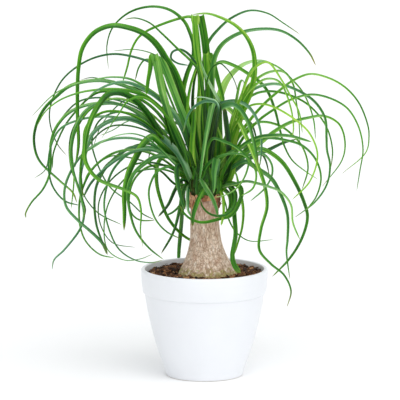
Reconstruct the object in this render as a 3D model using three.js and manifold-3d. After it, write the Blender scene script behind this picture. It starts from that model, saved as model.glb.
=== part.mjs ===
// Potted ponytail palm: a young plant with a swollen corky stem and one head of long strap leaves,
// standing in bark mix in a plain two-tier white pot.
// Millimetres, +Z up. The origin is the middle of the pot's flat base.
import * as THREE from "three";
import { mergeVertices } from "three/addons/utils/BufferGeometryUtils.js";
import Module from "manifold-3d";

const wasm = await Module();
wasm.setup();

// Clearance between pieces that touch.
const GAP = 0.3;

// Pot: a collar with a rounded lip over a tapering body.
const POT_HEIGHT = 128;
const RIM_RADIUS = 75;
const LIP_WIDTH = 4.6;
const COLLAR_BOTTOM_Z = 99;
const COLLAR_BOTTOM_RADIUS = 72;
const BODY_TOP_RADIUS = 70.8;
const FOOT_RADIUS = 44;
const FOOT_ROUNDING = 1.9;
const FLOOR_THICKNESS = 6;
const POT_SIDES = 40;

// Bark mix that fills the pot.
const SOIL_Z = 121.5;
const SOIL_LUMP = 1.1;
const SOIL_SIDES = 32;
const CHIP_COUNT = 30;
const CHIP_SEED = 4127;

// Stem: a corky column that swells to a flask at the soil.
const NECK_RADIUS = 16.9;
const STEM_TOP_Z = 213;
const STEM_FOOT_Z = 91;
const STEM_SIDES = 32;
const FISSURE_DEPTH = 0.6;

// The stem leans to the right above the soil, by this much at the neck.
const STEM_LEAN = 3.6;
const LEAN_FROM_Z = 118;
const LEAN_TO_Z = 195;

// Ring of dry, torn leaf bases round the neck.
const TATTER_TOP_Z = 213.6;
const TATTER_BOTTOM_Z = 200;
const TATTER_COUNT = 18;
const TATTER_SIDES = 24;
const TATTER_SEED = 977;

// Core of the leaf head: the tight sheaths that the blades grow from.
const CORE_BOTTOM_Z = STEM_TOP_Z + GAP;
const CORE_TOP_Z = 264;
const CORE_SIDES = 16;

// Blades: a flat upper face over a keel, which is at least so thick, on a blade at least so wide.
const KEEL_SHARE = 0.16;
const THINNEST_KEEL = 0.8;
const NARROWEST_HALF = 0.6;

// A far eye, slightly above the plant, sees the plant as an upright picture of 400 units a side, with
// x to the right and y down. A leaf route is a list of picture points, each pushed back along its
// sight line by the leaf's depth there.
const PICTURE_CENTRE = 200;
const PLANT_AXIS = 204.5;
const FLOOR_ROW = 375.2;
const MM_PER_UNIT = 1.18;
const EYE_DISTANCE = 5000;
const EYE_DIP = THREE.MathUtils.degToRad(9.5);

// Bends of a blade: a new ring at the latest after this length, or after this turn, and twisted against
// the last one by no more than this.
const LONGEST_STEP = 62;
const LARGEST_TURN = 0.5;
const LARGEST_TWIST = 0.6;

// A fold is sharp above this turn per millimetre. A bend is felt over this share of the curve each way,
// and a blade takes up this share of the inner radius of an edgewise bend.
const SHARP_FOLD = 0.12;
const BEND_REACH = 0.01;
const BEND_ROOM = 0.75;

// How far a leaf that reaches sideways is turned about its own length, so that its upper face looks up
// and out. A leaf that strays less than about the second length, in millimetres, is hardly turned.
const SIDE_TURN = THREE.MathUtils.degToRad(50);
const UPRIGHT_ROOM = 60;

// Over this share of a leaf's length its root narrows.
const ROOT_SHARE = 0.12;

// How much deeper than read the head is taken to be, front to back.
const DEPTH_SPREAD = 1.12;

// Each leaf: [width, width near the tip, depth of the tip, picture route, share of its length where its
// taper starts, if that is late]. A third number in a route point is how much nearer the leaf lies there,
// as where it creases and folds over. The photo hides the leaves named back, and they fill the head.
const LEAF_ROUTES = {
  left_big_arch: [10.6, 3.6, -55, [[199, 186], [195, 155], [188, 118], [181.5, 93], [177.5, 80],
    [173.2, 70], [166.5, 60], [160.7, 50], [153, 40.5], [143, 33], [130, 28], [112, 25.5], [95, 32],
    [83, 47], [78.5, 68], [77.5, 115], [78.5, 145], [75, 168]]],
  left_highest: [6.8, 1.1, 70, [[199, 186], [190, 150], [184, 115], [183, 92], [187, 74], [193, 58],
    [193.5, 45], [190, 33], [184, 21], [170, 10], [152, 6.5], [130, 12], [113, 27], [107, 45],
    [108.5, 70]]],
  right_over_top: [10, 1.8, -62, [[215.5, 189.5], [222, 172], [230, 152], [236, 130], [244, 107],
    [250, 93], [254, 78], [254.7, 64], [252.8, 50], [246, 36], [235, 25], [220, 17.2], [207, 13.5],
    [192, 14.5]]],
  mid_fold: [7, 8.8, -16, [[208, 188], [210, 150], [209.5, 110], [207.8, 85], [206.9, 70], [206.4, 61],
    [206, 55.4], [205.9, 53, -2], [206.1, 55.6, -4.5], [206.6, 63, -6]], 0.8],
  light_strand: [6.2, 2, -42, [[213, 188], [222, 170], [227, 150], [227.5, 130], [224.5, 111], [217, 97],
    [209.5, 83], [204, 71.5], [200.3, 60]]],
  bright_strand: [4.6, 2, -50, [[197, 186], [190, 145], [187.5, 108], [190.5, 86], [195, 71], [198, 62]]],
  left_fold: [8.9, 7.4, -95, [[200, 186], [191, 165], [180, 145], [171, 122], [165.5, 103], [161.8, 90],
    [159.8, 80], [158, 70], [155.8, 60], [154.3, 55], [154, 53.2, -2.6], [154.4, 55.8, -6],
    [155.4, 62, -8]], 0.7],
  left_light_inner: [8.8, 1.6, -72, [[202, 186], [194, 155], [186, 124], [179, 105], [173.3, 90],
    [169.5, 80], [165.8, 70], [163.5, 65], [161.2, 60], [159, 55.5]], 0.8],
  left_thin_high: [4, 1.2, -90, [[204, 186], [205, 140], [203, 98], [198, 70], [190, 60], [178, 49],
    [163, 34.5], [149, 22.5], [135, 18], [124, 19.5]]],
  left_curl: [3.6, 2, -60, [[206, 186], [207, 138], [204, 95], [197, 66], [188, 53.5], [180, 49.5],
    [172.5, 52], [171, 58], [177, 63], [189, 65.5]]],
  left_long_low: [3.4, 1.3, 90, [[195.5, 188], [190, 140], [181, 105], [168, 78], [152, 63.5],
    [140, 58.5], [115, 54], [95, 57.5], [78, 66], [63, 79], [54, 95], [49.5, 112], [51, 128], [58, 145],
    [67, 156]]],
  left_thin_fold: [2.8, 1.8, 60, [[200, 186], [190, 148], [177, 115], [166, 88], [159, 68], [151, 60.5],
    [145, 59.8], [139, 67], [135, 81]], 0.5],
  left_thin_mid: [2, 0.9, 110, [[202, 186], [193, 145], [180, 105], [170, 78], [162, 60], [152, 53.5],
    [135, 49.5], [112, 51]], 0.5],
  left_reach: [4.1, 1.1, -75, [[194.5, 188], [188, 145], [179, 119], [165, 102], [150, 90], [130, 79],
    [112, 77], [100, 78.5], [78, 83], [55, 93.5], [31, 117]]],
  far_left_loop: [5, 2.6, 25, [[195, 186], [186, 152], [172, 122], [150, 99], [125, 86], [102, 80.5],
    [80, 82.5], [68, 87], [58, 95], [44, 109], [36, 126], [34, 142], [39, 160], [60, 181], [73, 193],
    [77, 203]]],
  left_low_reach: [4, 1.3, -100, [[192.5, 188], [181, 148], [167, 116], [150, 99], [130, 91], [110, 89],
    [95, 90], [80, 92.5], [60, 100], [45, 112], [36, 128]], 0.3],
  left_dark_thin: [4.2, 0.8, 100, [[198, 186], [190, 145], [178, 116], [162, 101], [142, 90], [125, 85.5],
    [105, 80.5], [92, 77.5], [80, 80]]],
  left_wide_bright: [7.6, 0.9, -125, [[194.5, 186], [184, 167], [170, 150], [157, 128], [145, 110],
    [130, 96.5], [118, 92.5], [108, 94.5], [98, 106], [89, 125], [84.5, 150], [86.2, 163.5], [98, 179],
    [125, 190], [137, 197], [141, 210], [140.5, 232], [143, 248]], 0.42],
  left_lowest: [8, 2, -66, [[195.5, 189], [191, 180, 8], [188.5, 174, 12], [184, 163, 14], [178, 153, 14],
    [172, 146.5, 12], [165, 140, 8], [150, 128], [140, 121.5], [128, 118.5], [115, 119.5], [103, 124.5],
    [91, 136], [85, 155], [80.5, 175], [81, 195], [84, 215], [80, 229], [64, 250], [54, 260], [52, 270]]],
  left_ring_back: [4, 1.9, 125, [[191.5, 186], [176, 142], [157, 112], [137, 97.5], [115, 92], [100, 92],
    [90, 97], [77, 110], [66, 124], [58, 140], [53, 155], [52.5, 169]]],
  left_ring_front: [3.7, 2.1, -50, [[190.5, 187], [178, 160], [160, 139], [142, 124.5], [120, 118],
    [100, 116.5], [77, 120.5], [60, 129], [51, 146], [48.5, 168], [53, 187], [65, 201], [80, 205.5]]],
  left_edge_hook: [3.8, 2, -22, [[189.5, 187], [176, 152], [152, 122], [122, 105], [92, 104], [70, 112],
    [57, 126], [51, 142], [50, 172], [43, 189], [31, 203], [25.5, 214], [26, 218]], 0.5],
  left_edge_tip: [2.9, 1, 75, [[188.5, 186], [173, 147], [147, 114], [110, 98.5], [80, 101], [62, 118],
    [53, 135], [49, 155], [45, 170], [34, 178.5]]],
  left_sway: [2.9, 4.8, -105, [[193.5, 190], [181, 169], [162, 151], [141, 140], [120, 138], [100, 142.5],
    [82, 155], [70, 173], [64.5, 190], [66, 206], [77, 219.5], [93, 233.5], [103, 244],
    [107.5, 255]], 0.66],
  left_low_thin: [2.7, 2.1, 22, [[192.5, 190], [178, 171], [150, 153], [120, 151], [95, 166], [82, 190],
    [79, 212], [81, 230], [87, 243], [100, 254.5], [115, 258]], 0.5],
  left_bow_back: [4.4, 2.6, 130, [[194.5, 190], [185, 173], [172, 158], [160, 150.5], [145, 147],
    [130, 148], [120, 154], [110, 163], [103, 172], [95.5, 190], [96.5, 225], [107.5, 254]], 0.5],
  left_bow_front: [4.4, 1, -140, [[195.5, 191], [186, 175], [172, 160], [160, 152.5], [148, 149],
    [130, 153], [113, 170], [105, 195], [105, 214], [118, 248], [135, 260], [152, 262.5], [163, 260]]],
  left_bow_thin: [2.9, 0.9, 92, [[194.5, 190], [183, 176], [160, 164], [136, 164], [112, 179], [99, 202],
    [101, 226], [113, 243], [136, 247.5]]],
  left_bow_low: [2.5, 0.8, -92, [[195.5, 190], [184, 178], [160, 169], [130, 175], [110, 200], [104, 228],
    [108, 250], [124, 260], [140, 259], [153, 254]]],
  left_blunt: [7.6, 3.6, -62, [[194.5, 189], [186, 172], [171, 154], [160, 143], [152, 137], [143, 144],
    [138, 153], [129, 172], [124.5, 192], [124.5, 215], [124, 231]], 0.68],
  left_bright_low: [5.4, 1.8, -110, [[198, 187], [188, 171], [176, 160], [165, 156], [155, 157],
    [140, 167], [133, 175], [128, 190], [130, 212], [136, 231], [149, 248], [164, 260]], 0.4],
  left_strand_tail: [2.4, 1.6, 62, [[192.5, 188], [178, 150], [150, 122], [120, 112], [100, 120],
    [92, 140], [96, 160], [110, 187], [131, 203], [143, 214], [155, 220]]],
  left_inner_tail: [2.8, 1.8, 100, [[195.5, 191], [186, 178], [168, 166], [148, 167], [134, 180],
    [129, 200], [132, 214], [140, 220], [155, 220.5]], 0.4],
  left_inner_bow: [3.3, 1.8, -100, [[198, 190], [190, 180], [178, 170], [168, 167], [157, 172],
    [149.5, 187], [149.5, 201], [156, 220], [167, 232], [180, 238.5]]],
  behind_trunk: [4.9, 3, 66, [[199, 188], [190, 174], [176, 160], [165, 156.5], [158.5, 162],
    [156.5, 180], [161, 201], [170, 221], [184, 236], [199, 244]], 0.5],
  left_drop_short: [4.4, 2.6, -44, [[199, 191], [191, 183], [182, 180], [175, 190], [168, 205],
    [158, 217]], 0.6],
  left_drop_tiny: [3.3, 2.1, 34, [[198, 192], [190, 185], [184, 192], [180, 205], [173, 212],
    [165, 216]], 0.5],
  left_drop_long: [4.1, 2.2, -54, [[200, 190], [191, 181], [184, 188], [179.5, 210], [173, 233],
    [161, 254]], 0.55],
  behind_rim: [5.4, 3.8, 92, [[201, 190], [193, 178], [186.5, 184], [183, 205], [181, 228], [179, 250],
    [178.5, 263]], 0.6],
  left_thin_arc: [3.3, 1, -102, [[198, 188], [188, 174], [175, 164], [163, 152], [152, 142], [145, 137],
    [130, 133.5], [110, 138], [87, 152]]],
  left_thin_arc_back: [2.9, 1, 84, [[195.5, 189], [182, 164], [168, 152], [157, 146], [138, 144.5],
    [122, 153], [105, 166], [96, 182]]],
  left_low_arc: [3.1, 1, 30, [[200, 192], [189, 185], [176, 184.5], [162, 172], [143, 161], [122, 156.5],
    [112, 156], [97, 164], [87, 175], [82, 193]]],
  left_mid_arc: [4.2, 2.6, -72, [[194.5, 189], [184, 171], [165, 154], [145, 149.5], [125, 155],
    [108, 166], [91, 183], [83, 198]], 0.45],
  left_strand_one: [3.2, 1.2, 74, [[191.5, 186], [176, 149], [150, 119], [120, 104.5], [95, 106],
    [77, 122], [70, 140], [71, 168], [80, 192]], 0.5],
  left_strand_two: [2.9, 1.7, -40, [[192.5, 186], [177, 144], [150, 113], [118, 98.5], [92, 108],
    [77, 128], [72, 148], [74, 178], [71, 210]], 0.5],
  left_strand_three: [2.2, 1.6, 112, [[191.5, 187], [173, 150], [145, 130], [112, 126], [92, 141],
    [82, 165], [81, 188], [97, 212], [122, 225]]],
  left_fan_one: [3.1, 0.9, -122, [[193.5, 186], [179, 138], [161, 110], [143, 97.5], [128, 101],
    [118, 115], [101, 139]], 0.5],
  left_fan_two: [2.6, 0.8, 96, [[194.5, 187], [181, 147], [159, 127], [140, 119], [126, 122], [113, 130],
    [99, 136]]],
  left_fan_three: [3.3, 0.9, 132, [[194.5, 186], [182, 140], [161, 108], [142, 96], [128, 98.5],
    [113, 110], [100, 128], [93, 148]]],
  right_highest: [5, 1.3, 92, [[206, 186], [203, 140], [202, 98], [203, 68], [208, 43], [220, 27.5],
    [233, 17], [250, 10.5], [268, 13.5], [284, 23.5], [301, 35]]],
  right_arch: [7.2, 1.8, -62, [[208, 186], [210, 142], [211.5, 98], [213, 66], [216.5, 53], [224, 42.5],
    [240, 33], [260, 29], [280, 30.5], [297, 40], [310, 54], [316, 66]]],
  right_pale: [9.4, 0.9, 58, [[214.5, 188.5], [218, 168], [219, 145], [218.4, 120], [218.6, 104],
    [220.6, 94], [223.4, 86.5], [227.4, 79], [232.4, 73], [238.4, 67.8], [246, 63.2], [256, 60.8],
    [267, 61.6], [279, 67.5]], 0.42],
  right_long_slope: [4.2, 1, 82, [[207, 186], [208, 140], [207, 98], [211, 70], [221, 62], [235, 66],
    [250, 75], [262, 84], [268, 92], [275, 110], [280, 130], [284, 145], [292, 160], [305, 171],
    [319, 180]], 0.5],
  right_thin_tip: [2.2, 0.9, -92, [[206, 186], [205, 132], [206, 88], [212, 68], [220, 63.5], [227, 69],
    [232, 76], [236, 85], [237.5, 92]]],
  far_right_arc: [4.2, 1.3, 30, [[218.5, 189.5], [226, 172], [238, 138], [250, 120], [265, 103],
    [280, 90], [293, 80.5], [310, 74], [330, 78.5], [346, 88], [359, 103], [367.5, 124], [369, 135],
    [366, 152], [341, 174.5]]],
  right_outer_arc: [4, 1.2, -72, [[217.5, 189.5], [227, 168], [243, 138], [258, 121], [273, 110],
    [290, 100], [312, 94.5], [332, 99], [348, 109], [359, 128], [363, 150], [360, 170], [356.5, 192]]],
  right_thick_arc: [6.2, 1.3, 62, [[218.5, 189.5], [230, 169], [246, 153], [262, 141.5], [275, 131],
    [290, 122.5], [307, 118], [324, 116], [339, 124], [345, 142], [342, 160], [321, 188]]],
  right_level: [4.4, 2.6, -122, [[217.5, 188.5], [226, 166], [242, 146], [258, 137.5], [272, 135.5],
    [290, 136], [312, 142]], 0.7],
  right_round: [4, 1.6, -80, [[217.5, 189.5], [228, 168], [246, 149], [264, 138.5], [285, 140],
    [303, 146], [316, 160], [321, 178], [316, 197], [306, 210]]],
  right_stub: [5, 2, 112, [[218.5, 190.5], [231, 175], [244, 163], [256, 155], [268, 150], [283, 143],
    [297, 139]], 0.6],
  right_round_back: [3.5, 2, 122, [[216.5, 187.5], [224, 160], [240, 136], [258, 122.5], [278, 125],
    [292, 134.5], [303, 148], [308, 168], [302, 190]]],
  right_kinked: [4.7, 2, -32, [[214.5, 187.5], [222, 160], [228.5, 136], [233.5, 115], [242, 99],
    [255, 88.5], [270, 84], [283, 85], [300, 91.5], [315, 102], [325, 118], [326.5, 138], [327, 150],
    [330, 165], [327, 184], [315, 202], [294, 218]]],
  right_arc_back: [3.7, 1.8, 102, [[214.5, 187.5], [220, 157], [230, 128], [243, 104], [256, 93.5],
    [275, 91.5], [300, 99.5], [315, 111], [327, 128], [332.5, 150], [331, 168]]],
  right_arc_front: [3, 1.9, -102, [[215.5, 187.5], [221, 157], [234, 127], [249, 106.5], [262, 104],
    [276, 108], [297, 121], [310, 134], [317.5, 155], [310, 181], [292, 200]]],
  right_strand_one: [3.4, 1.2, 112, [[209, 186], [219, 165], [227.5, 145], [231.5, 125], [238.5, 105],
    [248, 87], [268, 72.5], [284, 72], [293, 84], [296, 100], [299, 122], [300, 150]], 0.5],
  right_strand_two: [2.9, 1.6, -62, [[209, 186], [220, 166], [228.5, 145], [232.5, 125], [239.5, 106],
    [250, 90], [266, 79], [279, 81.5], [290, 105], [293.5, 128], [292, 138]], 0.5],
  right_slope_down: [3.8, 1.6, -132, [[208, 186], [218, 165], [226.5, 145], [231, 125], [236.5, 108],
    [243, 91], [249, 76], [257, 66], [268, 62.4], [281, 79], [290, 95], [299, 112], [302.5, 134]]],
  right_low_arch: [5.3, 2.8, 52, [[217.5, 190.5], [225, 172], [240, 155], [252, 149.5], [262, 149],
    [271, 153], [283, 163], [295, 182], [304, 202], [307.5, 217], [302, 238], [290, 258],
    [272, 277]], 0.5],
  right_low_kinked: [5.3, 1.8, -92, [[216.5, 190.5], [223, 176], [234, 166], [245, 161.5], [258, 169],
    [271, 178], [281, 195], [287.5, 215], [287.5, 240], [286.5, 252], [290, 280]], 0.4],
  right_low_thin: [3.2, 2.1, -132, [[215.5, 192.5], [222, 187], [234, 184], [246, 181.3], [258, 183.5],
    [270, 187], [281, 192], [291, 205], [293, 223], [300, 240]], 0.5],
  right_front_long: [6.6, 1.8, -66, [[214.5, 188.5], [214, 150], [217, 117], [222, 106.5], [229, 109],
    [238, 120], [248, 141], [258, 166], [265, 187], [267, 207], [261, 229], [259.5, 250], [271, 264],
    [284, 275], [291, 291], [287, 307]]],
  front_thin_hook: [3.4, 2, -102, [[204, 188], [206, 165], [207.5, 147], [213, 138.5], [224, 141.5],
    [236, 147], [248, 159], [256, 172], [253, 188], [241, 196]], 0.5],
  front_glossy: [9.8, 2.2, -52, [[207, 188], [208.5, 168], [210.5, 150], [212.8, 135], [215.8, 121],
    [218, 111], [217.8, 106, 2], [215.4, 103.8, 6], [212.8, 105.6, 12], [211, 111, 15], [209, 121, 16],
    [206.6, 133, 17], [204.4, 145, 18], [202.6, 157, 18], [201, 170, 18], [199.4, 183, 18]], 0.3],
  front_dark_arc: [6.4, 2, -64, [[206, 187], [208.5, 160], [212.5, 130], [216, 109.5], [219.5, 104.6],
    [226, 102.3], [234, 101.2], [241, 102.3], [247, 105.6], [252.5, 111.5], [257, 119.5], [260, 129],
    [261.5, 141], [261.3, 153], [259.5, 168]]],
  front_broad_arc: [7.4, 3.4, -92, [[207, 187], [210.5, 160], [214.5, 130], [218, 110.5], [222, 107],
    [228, 105], [234, 104.8], [239.5, 108.4], [244, 114.5], [248, 122], [251, 131], [253.8, 142],
    [256.4, 154], [258, 166]]],
  dark_upright: [9, 5, -40, [[212, 189], [223, 181], [228, 168], [228.8, 150], [227.5, 133], [225.5, 118],
    [224.5, 107.5]]],
  olive_upright: [10, 5, -10, [[214.5, 191.5], [223, 186], [229, 178], [232, 168], [233, 158],
    [233.8, 145], [235.5, 130], [238.5, 114], [243, 98], [250, 82]]],
  right_small_fold: [4.6, 1.6, -52, [[208, 187], [220, 168], [228, 150], [231, 130], [235.4, 106],
    [239.3, 85], [241, 81, 1], [242.8, 80.6, 4], [244.2, 85, 5], [242, 97, 5]]],
  right_inner_rise: [6.4, 2.4, 36, [[209, 187], [219, 160], [230, 130], [238, 107], [245, 92],
    [251, 82]]],
  front_hook_tail: [3.4, 1, -72, [[207, 188], [216, 168], [229, 152.5], [241, 151], [248.6, 159],
    [247.2, 170], [243, 180], [237.5, 187.4], [230, 193], [222, 196], [214, 197.4]]],
  right_curl: [3.5, 1.9, -44, [[216.5, 189.5], [227, 173], [242, 159], [255, 153.5], [264, 154.5],
    [271.5, 164], [272, 175], [265, 188], [250, 201.5]]],
  front_crossing: [4.4, 1.2, -86, [[200, 188], [201, 177], [208, 164], [218, 157], [232, 153.5],
    [243, 154.5], [251, 161], [257, 171]]],
  front_hanging: [8.2, 3.2, -56, [[213, 188], [215.8, 170], [217, 162], [216.8, 158.6, 4], [216, 160, 9],
    [215, 165, 10], [214.2, 172, 10], [214, 182, 9], [213.4, 194, 7]], 0.6],
  before_trunk_right: [5.4, 2.4, -50, [[199.5, 186], [200, 181.4, 14], [201, 180, 19], [203, 183, 21],
    [207, 189.5, 16], [211.4, 196.5, 10], [214.6, 203.5, 6], [216.6, 209.5, 4], [217.6, 216]], 0.6],
  before_trunk_left: [5.2, 3, -50, [[206.4, 192], [205.6, 189, 16], [204.2, 188.6, 21],
    [202.2, 191.6, 22], [199, 198, 14], [196.4, 205, 8], [194, 212, 4], [192.8, 219, 3],
    [192.6, 226]], 0.7],
  neck_wrap: [6, 2.2, -54, [[211, 191], [222, 184.5], [233, 183.6], [240.4, 187.5], [241.6, 194],
    [239, 203], [235, 211], [229, 216.4], [221, 218.4], [213, 220.6], [205, 222.3], [198, 221.8],
    [190, 218.5], [183.5, 212.5], [180, 205.5]]],
  neck_wrap_inner: [5, 1.6, -52, [[211, 191], [222, 186.5], [231, 186.6], [235.4, 193], [235.4, 202],
    [232, 209.5], [226, 214.4], [218, 215.8], [211.5, 214.6], [206, 211], [202.2, 206], [200.4, 200]]],
  right_drop_soil: [5.2, 7.4, -40, [[215.5, 191.5], [221, 184.5], [227.5, 184.5], [231.6, 190],
    [233.4, 201], [234.4, 216], [235.6, 234], [234, 245], [232.4, 255], [233.4, 262.5], [236.4, 268.4],
    [240.6, 273]], 0.66],
  right_drop: [4, 2, 44, [[216.5, 191.5], [224, 178], [231, 171.5], [235.8, 173.5], [238, 182],
    [240.6, 194], [242.8, 205], [243.3, 216], [241.6, 230], [238, 242], [234.8, 254]], 0.5],
  neck_tip: [4.4, 2.6, -38, [[210, 191], [217.5, 188.5], [222.4, 195], [223.6, 205], [223.4, 215],
    [221, 226]]],
  right_low_tail: [2.9, 0.9, 54, [[215.5, 192.5], [220.5, 190], [225.5, 203.5], [229, 220], [237, 233],
    [250, 241], [274, 239.5]]],
  tall_fold: [9, 7, -8, [[210, 188], [212, 150], [212, 110], [210, 82], [207.6, 62], [206, 50],
    [204.8, 40], [203.2, 30], [201.4, 20], [200.7, 15.8], [200.5, 14.6, -2.5], [200.8, 18, -5],
    [201.6, 27, -6]], 0.6],
  tall_arch_left: [4.3, 2.4, 62, [[208, 187], [205, 140], [203, 95], [200, 60], [197.5, 32], [195, 20],
    [190, 16.8], [182, 17.8], [171, 21], [160, 25], [146, 31.5], [138, 38], [131.5, 50], [127, 68],
    [122, 84]]],
  front_arch_left: [5.6, 1.8, -84, [[206, 188], [209, 165], [213, 140], [217.5, 118], [219.5, 107],
    [216.5, 102.8], [210.5, 101], [204, 101.4], [197.5, 104.4], [191.5, 109.6], [188, 115.5],
    [185.5, 123], [183, 133]]],
  front_thin_arch: [2.6, 1, -70, [[208, 188], [213, 150], [217, 120], [218.5, 106], [215.5, 100.8],
    [210, 98.8], [204, 97.4], [198, 97.2], [193, 99.5]]],
  left_neck_short: [5, 1.8, -38, [[196, 189], [191.6, 185.6], [188.6, 187.4, 4], [187.8, 194, 6],
    [187.6, 204, 6], [188.4, 211, 5], [191.4, 217, 3]], 0.5],
  left_dark_drop: [6.8, 2.2, -46, [[196, 189], [190, 177], [184.5, 168], [180.5, 164.6], [177.6, 167.5],
    [176.9, 175], [178, 184], [179.8, 193], [182.2, 202], [185.4, 210]], 0.5],
  left_shade_drop: [5.6, 2, 30, [[197, 189], [190.5, 177], [185, 171.5], [182.2, 177], [182.2, 189],
    [184.6, 200], [185.4, 209]], 0.5],
  right_neck_loop: [5, 2, -26, [[214.5, 190], [225, 184.8], [231.8, 187], [234.8, 194], [234, 203],
    [230.4, 209.5], [225.5, 213.5]]],
  right_neck_shade: [6, 2.4, 18, [[214, 192], [223, 189.5], [228.6, 194], [230.4, 202], [228.6, 209.5],
    [224, 214]]],
  left_pale_blue: [7.2, 1.5, -108, [[199, 187], [191, 152], [185, 134], [179.5, 122.5], [171, 110],
    [161, 100.3], [151, 93], [140, 87], [129.5, 83], [120, 82], [111, 84], [102, 87.6], [94, 92.4],
    [86, 100]]],
  base_light: [8.6, 4.5, -34, [[198, 188], [194.8, 176], [192.6, 160], [192.4, 142], [193.6, 124],
    [194.4, 107.5]]],
  back_one: [8, 1.6, 150, [[203, 187], [199.5, 155], [198, 128], [199.5, 113], [204, 107], [209.5, 110.5],
    [212.5, 122], [213, 139]]],
  back_two: [7.5, 1.5, 165, [[205, 187], [205.5, 152], [204.5, 125], [201.5, 112], [197, 109.5],
    [192.8, 116], [190.6, 132], [189, 150], [187, 166]]],
  back_three: [7.5, 1.5, 140, [[202, 187], [193, 153], [186.5, 133], [180.5, 124], [174.5, 123],
    [168, 130], [163, 145], [160, 163]]],
  back_four: [7, 1.4, 122, [[200, 187], [188, 158], [178, 140], [169, 131], [160, 132.5], [152.5, 143],
    [148, 161]]],
  back_five: [7.5, 1.5, 140, [[208, 187], [217, 160], [225.5, 140], [234, 125], [242.5, 118.5],
    [250, 122], [255, 133], [257.5, 149]]],
  back_six: [7, 1.4, 122, [[209, 187], [222, 167], [235, 152], [247, 146], [258, 149.5], [265.5, 160],
    [269.5, 176]]],
  back_seven: [8, 1.6, 172, [[204, 187], [203, 152], [203.5, 122], [206, 104], [211.5, 95.5], [217, 99],
    [219, 110], [217, 119]]],
  back_eight: [7.5, 1.5, 155, [[206, 187], [207.5, 158], [208, 132], [205.5, 117.5], [201, 113.5],
    [197.5, 121], [195.6, 137], [194, 156]]],
  back_nine: [7, 1.4, 118, [[203, 189], [198.5, 168], [193, 152], [187, 144.5], [181, 147], [176.5, 158],
    [174, 172]]],
  back_ten: [7, 1.4, 118, [[207, 189], [214, 168], [221, 154], [228.5, 147.5], [234, 150], [236.5, 160]]],
  right_pale_arc: [3.4, 1.8, 76, [[213, 188], [222, 165], [229, 140], [233, 122], [238.5, 105], [243, 90],
    [247.5, 77], [253, 67.5], [260, 62], [268, 62.6], [281, 69], [292, 79.5], [302, 91], [309, 105],
    [314, 122], [315.5, 140]]],
  middle_slant: [4.8, 2, -24, [[212, 189], [221.5, 170], [224, 152], [221.4, 138], [217.2, 127],
    [213.6, 117]]],
  tall_light: [6.3, 13, -15, [[203, 188], [200.5, 165], [198.4, 140], [197.8, 120], [199.2, 100],
    [200.3, 85], [199.6, 70], [197.8, 60], [196.4, 50], [195.6, 40], [195, 30], [194.6, 20],
    [194.6, 15.8], [194.7, 14.4, -2.5], [195.3, 18, -5], [195.6, 27, -6]], 0.8],
  mid_fold_end: [6, 4.4, -2, [[207.2, 53.6, 14], [209.4, 53.9, 15], [211.4, 57, 16], [213.1, 62, 17],
    [215, 68.5, 18], [217.2, 77, 19], [219.6, 86, 20], [222, 95, 21], [224, 104, 22]], 0.6],
  left_fold_end: [5.8, 4.2, -3, [[152.9, 54.2, 97.6], [151.4, 57, 97.8], [150.8, 62, 97.6],
    [150.3, 68, 97], [149.3, 74, 96.5], [148, 81, 96], [147.2, 88, 96], [146.4, 95, 95]], 0.5],
  dark_rise: [6, 2, -22, [[205, 188], [200, 160], [195.5, 130], [192.8, 108], [193, 92], [195, 78],
    [198.5, 66]]],
  left_hanging_long: [3.6, 2.9, -84, [[190.5, 188], [176, 158], [157, 130], [137, 113], [115, 103],
    [98, 103], [84, 112], [75, 128], [71, 145], [70.5, 158], [72.5, 168], [75.5, 179], [79.5, 191],
    [83, 202], [85, 210], [83.5, 219]]],
  left_mass_rise: [8, 3, -28, [[190, 188], [181, 165], [175, 148], [170.3, 133], [166, 119],
    [162, 105.5]]],
  left_mass_hook: [3, 3.2, -76, [[193, 188], [180, 160], [163, 138], [143, 121], [122, 112], [104, 112],
    [92, 119], [85, 130], [83.5, 148], [80.5, 169], [83, 197]]],
};

// A small seeded generator, so that each run gives the same plant.
function seededDraw(seed) {
  const multiplier = 16807;
  const modulus = 2147483647;
  let state = seed;
  return () => {
    state = (state * multiplier) % modulus;
    return state / modulus;
  };
}

// Round the axis by this much from each repeat to the next, so that none lines up with another.
const GOLDEN_TURN = Math.PI * (3 - Math.sqrt(5));

// Shared vertices merged and collapsed triangles dropped, ready for joining and cutting.
function toSolid(geometry) {
  const bare = geometry.clone();
  bare.deleteAttribute("normal");
  bare.deleteAttribute("uv");
  const merged = mergeVertices(bare, 1e-4);
  const corners = merged.index.array;
  const kept = [];
  for (let i = 0; i < corners.length; i += 3) {
    const [a, b, c] = [corners[i], corners[i + 1], corners[i + 2]];
    if (a !== b && b !== c && c !== a) kept.push(a, b, c);
  }
  return new wasm.Manifold(new wasm.Mesh({
    numProp: 3,
    vertProperties: Float32Array.from(merged.attributes.position.array),
    triVerts: Uint32Array.from(kept),
  }));
}

// The outer skin of a joined solid: hollows that the joining sealed are filled, loose scraps dropped.
function outerBody(solid) {
  return solid.decompose().reduce((largest, body) => (body.volume() > largest.volume() ? body : largest));
}

function toGeometry(solid) {
  const mesh = outerBody(solid).getMesh();
  const geometry = new THREE.BufferGeometry();
  geometry.setAttribute("position", new THREE.BufferAttribute(mesh.vertProperties, mesh.numProp));
  geometry.setIndex(new THREE.BufferAttribute(mesh.triVerts, 1));
  geometry.computeVertexNormals();
  return geometry;
}

function namedMesh(name, geometry, colour, roughness) {
  const material = new THREE.MeshStandardMaterial({ color: colour, roughness, metalness: 0 });
  const mesh = new THREE.Mesh(geometry, material);
  mesh.name = name;
  return mesh;
}

// A solid of revolution about Z from [radius, height] corners.
function turned(corners, sides) {
  const profile = corners.map(([radius, z]) => new THREE.Vector2(radius, z));
  const geometry = new THREE.LatheGeometry(profile, sides);
  geometry.rotateX(Math.PI / 2);
  return geometry;
}

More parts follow.
